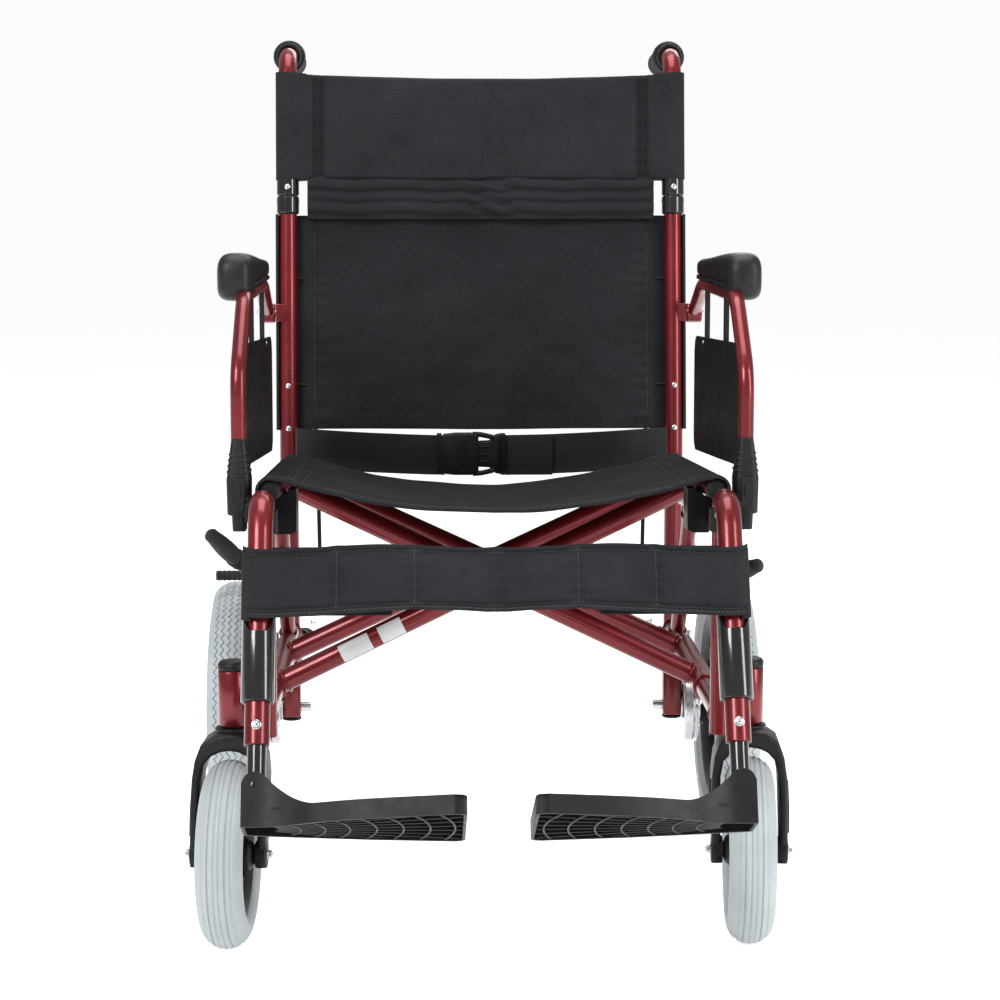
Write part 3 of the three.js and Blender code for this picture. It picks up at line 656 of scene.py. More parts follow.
for side, s in SIDES:
    turn = pi + (-CASTER_TURN if side == "left" else CASTER_TURN)
    place = Matrix.Translation((CASTER_X, CASTER_Y, 0)) @ Matrix.Rotation(turn, 4, "Z")
    wheel = f"caster_wheel_{side}"
    rim = wheel_rim(*CASTER_AXLE, 66, 18, 17, (-28, 28), 5, 8).moved(place)
    tyre = caster_tyre().moved(place)
    arms = fork().moved(place)
    ends = fork_bolts().moved(place)
    make(f"caster_fork_{side}", arms, PLASTIC, f"caster_{side}", f"caster_fork_{side}", side=s)
    make(f"caster_axle_{side}", ends, STEEL, f"caster_{side}", bevel=0.4, side=s)
    make(f"caster_tyre_{side}", tyre, GREY_RUBBER, wheel, f"caster_tyre_{side}", bevel=0, side=s)
    make(f"caster_rim_{side}", rim, PLASTIC, wheel, f"caster_rim_{side}", side=s)


# Rear wheels.
def rear_tyre():
    """A tyre with zig-zag grooves moulded into its tread."""
    half = (1, 4, 7, 8, 9, 11, 14.5, 15.5, 16.5, 19, 22, 25)
    columns = [-x for x in reversed(half)] + [0, *half]
    grooves = (-15.5, -8, 0, 8, 15.5)
    waves = 90
    segments = waves * 4
    rings = []
    for j in range(segments):
        angle = 2 * pi * j / segments
        wave = abs((j % 4) - 2) - 1
        ring = [(-20, 112.4), (-26, 118), (-28, 127)]
        for x in columns:
            inner = ease(25, 18, abs(x))
            groove = 1.9 if x in grooves else 0
            shifted = x + wave * 2.1 * inner
            r = 134 + 23.5 * sqrt(max(0, 1 - (shifted / 28.4) ** 2)) - groove
            ring.append((shifted, r))
        ring += [(28, 127), (26, 118), (20, 112.4)]
        up = sin(angle)
        back = cos(angle)
        rings.append([(REAR_WHEEL_X + a, REAR_POST_Y + r * back, REAR_AXLE_Z + r * up) for a, r in ring])
    return Shape().loft(rings, closed=True)


def rear_rim():
    return wheel_rim(REAR_WHEEL_X, REAR_POST_Y, REAR_AXLE_Z, 112, 20, 24, (-34, 26), 6, 10)


both("rear_tyre", rear_tyre, GREY_RUBBER, "rear_wheel_*", "rear_tyre_*", bevel=0, sharp=30)
both("rear_rim", rear_rim, PLASTIC, "rear_wheel_*", "rear_rim_*")


def drum_brake():
    shape = Shape()
    at = (0, REAR_POST_Y, REAR_AXLE_Z)
    drum = [(250, 44), (252, 46), (262, 46), (263, 44), (266, 44), (267, 46), (269, 46), (270.5, 44)]
    shape.turned(drum, at, X, 64)
    shape.turned([(248.5, 16), (250, 17), (251.5, 17)], at, X, 32)
    shape.rod((214, REAR_POST_Y, REAR_AXLE_Z), (333, REAR_POST_Y, REAR_AXLE_Z), 6)
    shape.hex_bolt((226, REAR_POST_Y, REAR_AXLE_Z), -X, 8.6, 9)
    shape.hex_bolt((332, REAR_POST_Y, REAR_AXLE_Z), X, 8.6, 4)
    shape.loft([soft_box((259, 493 - t, 187 + 62 * t / 4), Y, X, 8 - t, 4.6, 3) for t in (0, 1, 2, 3, 4)])
    return shape


both("drum_brake", drum_brake, STEEL, "frame_*", "drum_brake_*", bevel=0.5)


# Push handles.
def on_handle(y):
    bend = cane_y(HANDLE_Z)
    return Vector((FRAME_X, y, HANDLE_Z - 5 * (y - bend) / (HANDLE_END_Y - 8 - bend)))


HANDLE_AXIS = (on_handle(650) - on_handle(600)).normalized()


def upper_cane():
    start = BACK_HINGE_Z + 0.4
    path = [(FRAME_X, cane_y(start), start), (FRAME_X, cane_y(HANDLE_Z), HANDLE_Z), on_handle(681)]
    return Shape().tube(rounded_path(path, 42), CANE_R, 32)


both("upper_cane", upper_cane, PAINT, "handle_*", "upper_cane_*")


def cane_collar():
    start = BACK_HINGE_Z + 0.4
    axis = Vector((0, sin(RECLINE), cos(RECLINE)))
    profile = [(0, 12.8), (1, 13.6), (20.5, 13.6), (22, 12.2)]
    return Shape().turned(profile, (FRAME_X, cane_y(start), start), axis, 40)


both("cane_collar", cane_collar, GLOSS, "handle_*")


def collar_rivet():
    z = BACK_HINGE_Z + 12
    return Shape().dome((FRAME_X, cane_y(z) - 13.2, z), -Y, 3.6, 2)


both("collar_rivet", collar_rivet, STEEL, "handle_*", bevel=0)


def hand_grip():
    """A soft grip with a flange in front and finger swells under it."""
    shape = Shape()
    start = HANDLE_END_Y - 112
    rings = []
    for i in range(57):
        t = i / 56
        y = start + t * 112
        radius = 15.2 + 0.5 * sin(t * pi)
        if t < 0.13:
            radius = 18.6 + 1.6 * sin(t / 0.13 * pi)
        if t > 0.93:
            radius = 15.2 + 1.2 * sin((t - 0.93) / 0.07 * pi) - 3.5 * ease(0.97, 1, t)
        swell = 1.7 * cos(t * pi * 8) if 0.2 < t < 0.88 else 0
        ring = []
        for j in range(32):
            a = 2 * pi * j / 32
            r = radius + swell * max(0, -sin(a)) - 0.5 * (j % 4 == 0) * (0.2 < t < 0.9)
            ring.append(on_handle(y) + X * (r * cos(a)) + HANDLE_AXIS.cross(X) * (-r * sin(a)))
        rings.append(ring)
    return shape.loft(rings)


both("hand_grip", hand_grip, SOFT_GRIP, "handle_*", "hand_grip_*", bevel=0)

LEVER_Y = HANDLE_END_Y - 120
LEVER_Z = on_handle(LEVER_Y).z - 29


def brake_bracket():
    shape = Shape()
    band = [(-4, 11.6), (-4, 15), (-3, 16), (5, 16), (6, 15), (6, 11.6)]
    shape.turned(band, on_handle(LEVER_Y), HANDLE_AXIS, 36, ring=True)
    sections = [(15, 7, 5), (4, 7.5, 6.5), (-4, 6, 5)]
    ring = [soft_box((FRAME_X, LEVER_Y - 1.5, LEVER_Z + z), X, Y, a, b, 2) for z, a, b in sections]
    shape.loft(ring)
    shape.tube(smooth_path([(232, 568, 933), (226, 580, 931), (218, 596, 928)], 4), 4.2)
    return shape


both("brake_bracket", brake_bracket, PLASTIC, "handle_*", "brake_bracket_*")


def brake_lever():
    path = rounded_path([(0, 8, -1), (0, 44, -11), (0, 100, -16.5), (0, 108, -19)], 14)
    path = [Vector((FRAME_X, LEVER_Y, LEVER_Z)) + p for p in path]
    rings = []
    for i, p in enumerate(path):
        t = i / (len(path) - 1)
        rings.append(soft_box(p, X, Z, 5.2 + 2 * t, 3.4 - 0.8 * t, 2.2))
    return Shape().loft(rings)


both("brake_lever", brake_lever, PLASTIC, "brake_lever_*", "brake_lever_*")

CABLE = [(218, 596, 928), (214, 590, 900), (212, 568, 860), (211, 552, 820), (211, 545, 780)]
CABLE += [(211, 538, 740), (211, 531, 690), (210, 524, 620), (208, 517, 550), (206, 511, 480)]
CABLE += [(204, 507, 420), (203, 505, 370), (203, 505, 330), (205, 506, 303), (213, 508, 283)]
CABLE += [(228, 509, 272), (246, 508, 271), (258, 504, 282), (262.5, 499, 300), (262.5, 496, 318)]


def brake_cable():
    return Shape().tube(smooth_path(CABLE, 5), 2.5, 14)


for side, piece in both("brake_cable", brake_cable, SOFT_GRIP, "", "brake_cable_*", "cable", bevel=0).items():
    s = dict(SIDES)[side]
    low = frame_point((211 * s, 531, 690))
    high = frame_point((212 * s, 568, 860))
    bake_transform(piece)


# Footrests, drawn in the leg's own frame: z runs up the tube and y is square to it, to the rear.
LEG = Matrix.Translation(FOOT_PIVOT) @ Matrix.Rotation(-HANGER_SLOPE, 4, "X")


def in_leg(y, z):
    run = cos(HANGER_SLOPE)
    rise = sin(HANGER_SLOPE)
    a = y - FOOT_PIVOT.y
    b = z - FOOT_PIVOT.z
    return Vector((0, a * run - b * rise, a * rise + b * run))


def hanger():
    top = 488
    knee = in_leg(FOOT_PIVOT.y + (top - FOOT_PIVOT.z) * tan(HANGER_SLOPE), top)
    path = rounded_path([(0, 0, 43), knee, in_leg(-66, top - 2)], 30)
    shape = Shape().tube(path, 12.7, 36).moved(LEG)
    for z in HANGER_PIN_Z:
        shape.turned([(0.4, 9.5), (1.4, 10.5), (19, 10.5), (20, 9.5)], (FRAME_X, -74, z), Z, 32)
    shape.box((FRAME_X - 4, FRAME_X + 4), (-106, -77), (452.4, 472))
    return shape.box((FRAME_X - 4, FRAME_X + 4), (-132, -77), (396.4, 416))


both("hanger", hanger, PAINT, "hanger_*", "hanger_*")


def hanger_trim():
    """The rivet near the foot of the tube."""
    shape = Shape()
    shape.turned([(11, 5), (12.7, 5), (13.2, 4.2)], (0, 0, 62), -Y, 28)
    shape.dome((0, -12.9, 62), -Y, 3, 1.8)
    shape.moved(LEG)
    return shape


both("hanger_rivet", hanger_trim, STEEL, "hanger_*", bevel=0.3)


def clamp():
    """A sleeve on the tube whose upper front edge is cut down in a U."""
    rings = []
    wall = [(13.1, 87, -1), (13.1, 0, 1), (15.8, 0, 1), (16.7, 0, -0.4), (16.7, 88, -1), (15.9, 86, -1)]
    for r, low, high in wall:
        ring = []
        for a in around(64):
            front = ease(0.2, 0.9, -sin(a))
            z = low if high == -1 else 178 - 21 * front + (high if high < 0 else 0)
            ring.append((r * cos(a), r * sin(a), z))
        rings.append(ring)
    shape = Shape().loft(rings, closed=True)
    return shape.moved(LEG)


both("hanger_clamp", clamp, GLOSS, "hanger_*", "hanger_clamp_*", "black_plastic", bevel=0.4)


def foot_tube():
    shape = Shape()
    shape.turned([(-11, 8), (-9.5, 9.5), (170, 9.5)], (0, 0, 0), Z, 36)
    return shape.moved(LEG)


both("foot_tube", foot_tube, GLOSS, "foot_tube_*", "foot_tube_*", bevel=0)


def foot_pin():
    shape = Shape().rod((0, -24, 0), (0, 24, 0), 4.4)
    shape.dome((0, -23, 0), -Y, 5.6, 2)
    shape.dome((0, 23, 0), Y, 5.6, 2)
    return shape.moved(LEG)


both("foot_pin", foot_pin, GLOSS, "foot_tube_*", bevel=0)

PLATE_EDGE = [(13, -24), (-12, -25), (-34, -33), (-62, -48), (-110, -66), (-193, -85), (-201.5, -83)]
PLATE_EDGE += [(-204.5, -76), (-204.5, 58), (-201.5, 65), (-193, 67), (-110, 54), (-40, 38), (13, 24)]


def inset(outline, depth):
    """The outline drawn in by depth, for a shape whose points run one way round."""
    out = []
    points = [Vector(p) for p in outline]
    for before, at, after in zip([points[-1], *points], points, [*points[1:], points[0]]):
        a = (at - before).normalized()
        b = (after - at).normalized()
        normal = Vector((-(a + b).y, (a + b).x)).normalized()
        out.append(tuple(at + normal * (depth / max(0.5, normal.dot(Vector((-a.y, a.x)))))))
    return out


def wall_of(outline, thick, low, high):
    """A wall that follows a closed outline, thick mm wide."""
    inner = inset(outline, thick)
    if abs(sum(a[0] * b[1] - b[0] * a[1] for a, b in zip(inner, [*inner[1:], inner[0]]))) > abs(
        sum(a[0] * b[1] - b[0] * a[1] for a, b in zip(outline, [*outline[1:], outline[0]]))
    ):
        inner = inset(outline, -thick)
    rings = []
    for (a, b), (c, d) in zip(outline, inner):
        rings.append([(a, b, low), (a, b, high), (c, d, high), (c, d, low)])
    return Shape().loft(rings, closed=True)


def ear_top(x):
    """Height of the front wall: round over the pin, then a hollow sweep down to the rim."""
    if x > -9:
        return sqrt(max(0.0, 13.2 ** 2 - x * x))
    t = min(1, (-9 - x) / 50)
    return -22 + 31.6 * (1 - t) ** 1.7


def footplate():
    """A fan-shaped plate with a rim, radial ribs and curved cross ribs under it, and an ear on each side."""
    shape = Shape()
    shape.plate(PLATE_EDGE, -26, -22.4, lambda a, b, h: (a, b, h))
    shape.plus(wall_of(PLATE_EDGE, 3.2, -41, -22))
    rings = []
    for p in smooth_path([(x, y, 0) for x, y in PLATE_EDGE[:6]], 8):
        top = ear_top(p.x)
        rings.append([(p.x, p.y + b, c) for b, c in ((-0.6, -41), (-0.6, top), (3.2, top), (3.2, -41))])
    shape.loft(rings)
    edge = [Vector(p) for p in PLATE_EDGE]

    def reach(angle):
        """How far a ray from the ear runs before it meets the rim."""
        ray = Vector((-cos(angle), sin(angle)))
        best = 0
        for a, b in zip(edge, [*edge[1:], edge[0]]):
            d = b - a
            cross = ray.x * d.y - ray.y * d.x
            if abs(cross) > 1e-6:
                t = (a.x * d.y - a.y * d.x) / cross
                u = (a.x * ray.y - a.y * ray.x) / cross
                if t > best and -0.001 <= u <= 1.001:
                    best = t
        return best

    low = radians(-36)
    high = radians(30)
    for i in range(11):
        angle = low + (high - low) * i / 10
        ray = Vector((-cos(angle), sin(angle)))
        side = Vector((ray.y, -ray.x)) * 0.9
        far = ray * (reach(angle) - 2)
        near = ray * 22
        corners = [near + side, near - side, far - side, far + side]
        shape.loft([[(c.x, c.y, h) for c in corners] for h in (-39.5, -24)])
    for r in (44, 68, 92, 118, 144, 170, 194):
        rings = []
        for i in range(41):
            angle = low * 1.25 + (high - low) * 1.28 * i / 40
            if reach(angle) < r + 1.5:
                continue
            ray = Vector((-cos(angle), sin(angle)))
            a = ray * (r - 0.9)
            b = ray * (r + 0.9)
            rings.append([(a.x, a.y, -40.4), (b.x, b.y, -40.4), (b.x, b.y, -24), (a.x, a.y, -24)])
        if len(rings) > 2:
            shape.loft(rings)
    for i in range(14):
        x = -40 - i * 11.5
        width = 26 + 32 * (i / 13)
        pad = soft_box((x, -8, 0), X, Y, 2.6, width * 0.95, 2.4, 3)
        shape.loft([[(p[0], p[1], h) for p in pad] for h in (-23, -21.4)])
    return shape.moved(LEG)


both("footplate", footplate, PLASTIC, "footplate_*", "footplate_*", bevel=0.5)


def footplate_ears():
    """Two cheeks that clasp the tube's end, rounded over the pin and webbed down to the plate."""
    shape = Shape()
    outline = [(13, 0)]
    outline += [(13 * cos(t), 13 * sin(t)) for t in [pi * i / 10 * 0.86 for i in range(1, 11)]]
    outline += [(-18, -4), (-27, -12), (-38, -21), (-48, -26), (-48, -33), (13, -33)]
    for y in ((-23, -10.5), (10.5, 22)):
        shape.plate(outline, *y, lambda a, b, h: (a, h, b))
    shape.turned([(0, 5.2), (0, 8.6), (1.6, 8.6), (1.6, 5.2)], (0, 22, 0), Y, 32, ring=True)
    return shape.moved(LEG)


both("footplate_ear", footplate_ears, PLASTIC, "footplate_*", bevel=1.4)


def stitches(shape, points, pitch=4.2, length=2.7, radius=0.42):
    """A row of short threads along a line of points."""
    points = [Vector(p) for p in points]
    gone = 0.0
    for a, b in zip(points, points[1:]):
        step = (b - a).length
        if step < 1e-6:
            continue
        while gone < step:
            start = a.lerp(b, gone / step)
            shape.rod(start, start + (b - a) * (length / step), radius, 6)
            gone += pitch
        gone -= step
    return shape


STRAP_SEAMS = (2, 82, 160)


def strap_face(x, v, lift=0.0):
    """A point on the calf strap's face, x mm from the middle and v of the way up."""
    z = 386 + 63 * v + 3 * sin(x / 46) * (1 - v) - 1.8 * sin(x / 31 + 1) * v
    seam = min(abs(x - s) for s in STRAP_SEAMS)
    edge = min(v, 1 - v) * 63
    puff = 4.2 * (1 - exp(-((seam / 6) ** 2))) * (1 - exp(-(((edge - 6) / 2.4) ** 2)))
    pucker = 0.8 * exp(-((seam / 12) ** 2)) * sin(z / 2.3 + 2 * sin(z / 13))
    dent = 2.2 * noise.noise(Vector((x / 34, z / 22, 3.1)))
    tube_y = FOOT_PIVOT.y + (z - FOOT_PIVOT.z) * tan(HANGER_SLOPE)
    wrap = ease(196, 232, x)
    y = tube_y - 15 * wrap - 3 - (1 - wrap) * 8 + max(0, x - 240) ** 2 * 0.085
    return Vector((x, y - puff - dent - pucker - lift, z))


def calf_strap():
    """Half of the calf strap: a padded band round the front of the tubes, with sewn channels."""
    rings = []
    for i in range(221):
        x = 254 * i / 220
        front = [strap_face(x, j / 34) for j in range(35)]
        back = []
        for j, p in enumerate(front):
            edge = min(j, 34 - j) / 34 * 63
            back.append(p + Y * (3.4 - 2.2 * exp(-((edge / 1.4) ** 2))))
        rings.append(front + back[::-1])
    return Shape().loft(rings)


def strap_stitches():
    shape = Shape()
    for x in STRAP_SEAMS[1:]:
        stitches(shape, [strap_face(x, 0.1 + 0.8 * i / 30, 0.2) for i in range(31)])
    for v in (0.05, 0.095, 0.905):
        stitches(shape, [strap_face(1 + 245 * i / 120, v, 0.2) for i in range(121)])
    return shape


def calf_return():
    """The strap's free end, which goes round the tube and comes back behind it."""
    shape = Shape()
    rings = []
    for i in range(60):
        t = i / 59
        a = 0.3 + 0.8 * pi * min(1, t / 0.3)
        x = 240 + 14.8 * sin(a) - 140 * max(0, t - 0.3) / 0.7
        y_off = -16 * cos(a)
        ring = []
        for z, dy in ((379, 0), (380, -1.3), (443, -1.3), (444, 0), (443, 1.3), (380, 1.3)):
            tube_y = FOOT_PIVOT.y + (z - FOOT_PIVOT.z) * tan(HANGER_SLOPE)
            ring.append((x, tube_y + y_off + dy + 1.0 * sin(t * 14) * (t > 0.4), z))
        rings.append(ring)
    return shape.loft(rings)


def bunched(piece):
    """Gives a strap piece its own copy of its mesh."""
    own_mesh(piece)


bands = both("calf_strap", calf_strap, BACK_CLOTH, "hanger_*", "calf_strap_*", bevel=0, sharp=70)
ends = both("calf_strap_end", calf_return, BACK_CLOTH, "hanger_*", bevel=0)
rows = both("calf_stitches", strap_stitches, THREAD, "hanger_*", bevel=0)
for made in (bands, ends, rows):
    for side, piece in made.items():
        bunched(piece)


# Armrests.
ARM_X = 264


def arm_tube():
    shape = Shape()
    path = [(ARM_X, -12, 515), (ARM_X, -12, 612), (ARM_X - 2, 62, 689), (ARM_X, 392, 689), (ARM_X, 494, 648)]
    shape.tube(rounded_path(path, 24), 8.3, 30, 0.94)
    shape.turned([(-10, 11), (-9, 12), (8, 12), (9, 11)], (ARM_X, 494, 648), X, 36)
    return shape


both("armrest_tube", arm_tube, PAINT, "armrest_*", "armrest_tube_*")


def arm_pad():
    """A moulded pad, crowned on top, with a heavier rounded nose that turns down in front."""
    rings = []
    stations = 64
    for i in range(stations + 1):
        t = i / stations
        y = 70 + (392 - 70) * t
        nose = sqrt(max(0.0, 1 - (1 - min(1, (y - 70) / 22)) ** 2)) if y < 92 else 1
        tail = sqrt(max(0.0, 1 - (1 - min(1, (392 - y) / 20)) ** 2)) if y > 372 else 1
        end = max(0.16, min(nose, tail))
        taper = ease(96, 150, y)
        top = 734 - 17 * ease(60, 440, y)
        low = 683 + 15 * ease(92, 118, y)
        middle_z = (top + low) / 2 - (1 - end) * 3
        half_z = (top - low) / 2 * (0.35 + 0.65 * end)
        half_x = (19.8 - 0.9 * taper) * (0.45 + 0.55 * end)
        ring = []
        for a in around(48):
            c = cos(a)
            s = sin(a)
            power = 0.62 if s > 0 else 0.42
            x = half_x * copysign(abs(c) ** 0.62, c)
            z = half_z * copysign(abs(s) ** power, s)
            if s > 0:
                z += 1.0 * (1 - (x / half_x) ** 2)
            ring.append((ARM_X + 8.7 + x, y, middle_z + z))
        rings.append(ring)
    return Shape().loft(rings)


for side, piece in both("arm_pad", arm_pad, PAD_SKIN, "armrest_*", "arm_pad_*", bevel=0, levels=1).items():
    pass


def arm_base():
    """The plastic tray under the pad, with the screws' bosses."""
    shape = Shape()
    shape.loft([soft_box((ARM_X + 3, y, 697), X, Z, 13, 3, 2.5) for y in (108, 382)])
    for y in (140, 350):
        shape.turned([(0, 5), (1.8, 5), (2.4, 4)], (ARM_X + 10, y, 694), -Z, 20)
    return shape


both("arm_pad_base", arm_base, PLASTIC, "armrest_*")


GUARD_TURN = 0.028


def skirt_guard():
    """A plain panel that stands a little out at its front edge, and its two short hangers."""
    shape = Shape()
    outline = [(8, 512), (180, 502), (360, 492), (370, 500), (373, 510), (373, 610), (368, 622), (358, 628)]
    outline += [(200, 634), (46, 640), (32, 634), (12, 606), (8, 598)]
    shape.plate(outline, 251.6, 254.4, lambda a, b, h: (h + (373 - a) * GUARD_TURN, a, b))
    for y in (120, 300):
        shape.box((256, 261), (y - 6, y + 6), (624, 690))
    return shape


both("skirt_guard", skirt_guard, PLASTIC, "armrest_*", "skirt_guard_*", bevel=0.5)


def guard_screws():
    shape = Shape()
    for y, z in ((16, 560), (14, 596)):
        shape.dome((264, y, z), X, 3, 1.6)
    for y, z in ((120, 640), (300, 634)):
        shape.dome((251.8 + (373 - y) * GUARD_TURN, y, z - 10), -X, 2.6, 1.4)
    return shape


both("guard_screws", guard_screws, STEEL, "armrest_*", bevel=0.4)


def arm_socket():
    """The socket that the arm's front tube drops into: a ribbed funnel, a latch tongue and a frame clip."""
    shape = Shape()
    centre = (ARM_X, -12)
    stations = [(450, 7, 12), (466, 7.6, 13), (468, 12, 18), (504, 12.6, 18)]
    stations += [(508, 12, 17), (540, 8.2, 11), (546, 7, 9.5)]
    shape.loft([soft_box((*centre, z), X, Y, a, b, min(a, b) * 0.55, 5) for z, a, b in stations])
    for z in (512, 518, 524, 530):
        rings = []
        grow = 11.6 - (z - 512) * 0.12
        for dz, g in ((-1.6, 0), (-0.8, 0.8), (0.8, 0.8), (1.6, 0)):
            rings.append(soft_box((*centre, z + dz), X, Y, grow + g, 15.9 - (z - 512) * 0.18 + g, 6, 5))
        shape.loft(rings)
    tongue = [(-6.5, 506), (-6.5, 484)]
    tongue += [(-6.5 * cos(t), 478 - 6.5 * sin(t)) for t in [pi * i / 8 for i in range(9)]]
    tongue += [(6.5, 484), (6.5, 506)]
    shape.plate(tongue, -33.5, -29, lambda a, b, h: (ARM_X + a, h, b))
    shape.plate([(-3, 499), (-3, 486), (3, 486), (3, 499)], -35, -32, lambda a, b, h: (ARM_X + a, h, b))
    shape.box((FRAME_X + 12.9, ARM_X - 8), (-50, -8), (464, 482))
    clip = [(-12, 12.9), (-12, 15.5), (12, 15.5), (12, 12.9)]
    shape.turned(clip, (FRAME_X, FRONT_POST_Y, 464), Z, 40, ring=True)
    return shape


both("arm_socket", arm_socket, PLASTIC, "frame_*", "arm_socket_*", bevel=0.8)


# Wheel locks. The left one stands locked and the right one released.
def grip_radius(t):
    swell = 2.6 * sin(pi * min(1, t * 1.15))
    return (8.2 + swell - 6.5 * ease(0.93, 1.0, t)) * (1 if t else 0.8)


for side, s in SIDES:
    locked = side == "left"
    at = Vector((FRAME_X + 18.4, 306, 336))
    tip = Vector((48, -118, 42) if locked else (54, -112, 78))
    lever = Shape().turned([(0, 11), (1, 12), (6, 12), (7, 11)], at, X, 36)
    lever.tube(smooth_path([at + Vector((6, 0, 0)), at + tip * 0.3 + Vector((5, 0, 0)), at + tip], 6), 5)
    make(f"lock_lever_{side}", lever, PLASTIC, f"lock_lever_{side}", f"lock_lever_{side}", side=s)
    start = at + tip * 0.48
    end = at + tip * 1.06
    grip = Shape()
    grip.tube([start.lerp(end, i / 40) for i in range(41)], grip_radius)
    for i in range(4):
        grip.torus(start.lerp(end, 0.06 + 0.05 * i), end - start, 9.2 + 0.4 * i, 1.0)
    make(f"lock_grip_{side}", grip, SOFT_GRIP, f"lock_lever_{side}", side=s, bevel=0)
    base = Vector((FRAME_X + 18.4, 338, 338))
    down = 14 if locked else 0
    shoe = Shape().turned([(0, 7.4), (0.6, 8), (5.4, 8), (6, 7.4)], base, X, 32)
    arm = [(5, 0, 0), (5.4, 46, -6 - down / 2), (5, 92, -7 - down)]
    shoe.tube(smooth_path([base + Vector(p) for p in arm], 6), 4)
    make(f"lock_shoe_{side}", shoe, STEEL, f"lock_shoe_{side}", f"lock_shoe_{side}", side=s)
    bar = Shape().rod(base + Vector((1, 92, -7 - down)), base + Vector((70, 92, -7 - down)), 6)
    for i in range(9):
        bar.torus(base + Vector((18 + 6 * i, 92, -7 - down)), X, 5.8, 0.9, 24)
    make(f"lock_bar_{side}", bar, SOFT_GRIP, f"lock_shoe_{side}", side=s, bevel=0.5)


# Cross-brace. Leg a turns on the right lower rail and carries the left seat tube.
def brace_leg(stations, seat_side):
    foot = Vector((-seat_side * FRAME_X, 0, LOWER_RAIL_Z))
    head = Vector((seat_side * SEAT_X, 0, SEAT_Z))
    shape = Shape().turned([(104, 13), (105, 14), (351, 14), (352, 13)], foot, Y, 40)
    shape.plus(Shape().turned([(-30, 10), (-29, 11.1), (435, 11.1), (436, 10)], head, Y, 36).moved(FALL))
    for y in stations:
        low = foot + Y * y
        high = FALL @ (head + Y * y)
        along = (high - low).normalized()
        shape.rod(low + along * 6, high, 12, 32)
        shape.torus(low + along * 14, along, 12.3, 2)
        shape.torus(high - along * 11.5, along, 12.3, 2)
    return shape


for leg, stations, seat_side in (("a", (128, 300), 1), ("b", (156, 328), -1)):
    make(f"brace_{leg}", brace_leg(stations, seat_side), PAINT, f"brace_{leg}", f"brace_{leg}")
    plugs = Shape()
    for y in (-30, 436):
        plugs.dome((seat_side * SEAT_X, y, SEAT_Z), Y * (1 if y > 0 else -1), 11, 3)
    make(f"seat_plugs_{leg}", plugs.moved(FALL), PLASTIC, f"brace_{leg}", bevel=0.3)

bolt = Shape().rod((0, 108, CROSSING_Z), (0, 348, CROSSING_Z), 6)
bolt.hex_bolt((0, 113, CROSSING_Z), -Y, 9, 8)
bolt.hex_bolt((0, 343, CROSSING_Z), Y, 9, 8)
for y in (142, 314):
    bolt.turned([(-1.4, 9.5), (1.4, 9.5)], (0, y, CROSSING_Z), Y, 32)
make("brace_bolt", bolt, STEEL, "brace_a", "brace_bolt", bevel=0.4)

for leg, s in (("a", -1), ("b", 1)):
    bolts = Shape()
    for y in (112, 344):
        bolts.hex_bolt((s * (FRAME_X - 6), y, 241.5), (0, 0, -1), 5.5, 6)
    make(f"sleeve_bolts_{leg}", bolts, STEEL, f"brace_{leg}", bevel=0.3)

# Two blank plates on the front strut of leg a.
foot = Vector((-FRAME_X, 128, LOWER_RAIL_Z))
head = Vector((SEAT_X, 128, dropped(SEAT_Z, 128)))
along = (head - foot).normalized()
for name, low, high in (("blank_plate_a", 82, 118), ("blank_plate_b", 130, 158)):
    rings = []
    for d in (low, high):
        ring = []
        centre = foot + along * d
        up = along.cross(Y) * -1
        for r in (12.35, 12.05):
            turn = range(13) if r > 12.1 else range(12, -1, -1)
            for i in turn:
                a = radians(-52 + 104 * i / 12)
                ring.append(centre - Y * (r * cos(a)) + up * (r * sin(a)))
        rings.append(ring)
    make(name, Shape().loft(rings), PLATE_LABEL, "brace_a", bevel=0)


# Fabric. Profiles run across the chair; thick cloth has a face and a back that meet at its edges.
def wrinkle(x, z, size, depth):
    """Broad dents with finer ones over them."""
    broad = noise.noise(Vector((x / size, z / size, 1.7)))
    fine = noise.noise(Vector((x / size * 2.7, z / size * 2.7, 5.2)))
    return depth * (broad + 0.4 * fine)


def profile_points(flat, centre, radius, low_angle, high_angle, bow, steps=48, arc_steps=9):
    """Points (across, out) of a sheet that bows between two tubes and wraps round the outside of each."""
    right = []
    for i in range(arc_steps + 1):
        a = radians(high_angle + (low_angle - high_angle) * i / arc_steps)
        right.append((centre + radius * cos(a), radius * sin(a)))
    edge = right[-1][1]
    across = [flat * (1 - 2 * i / steps) for i in range(1, steps)]
    inner = [(x, edge + bow * (1 - (x / flat) ** 2)) for x in across]
    left = [(-a, b) for a, b in reversed(right)]
    return right + inner + left


def seat_z(x, y, out):
    """Height of the seat's face, whose profile stands out mm above the seat tubes' centres."""
    inner = 1 - ease(180, 222, abs(x))
    front = 3.0 * ease(60, 0, y - SEAT_FRONT_Y) * cos(x / SEAT_FLAT_X * 1.5)
    return SEAT_Z + out + inner * (wrinkle(x, y, 95, 2.2) + front)


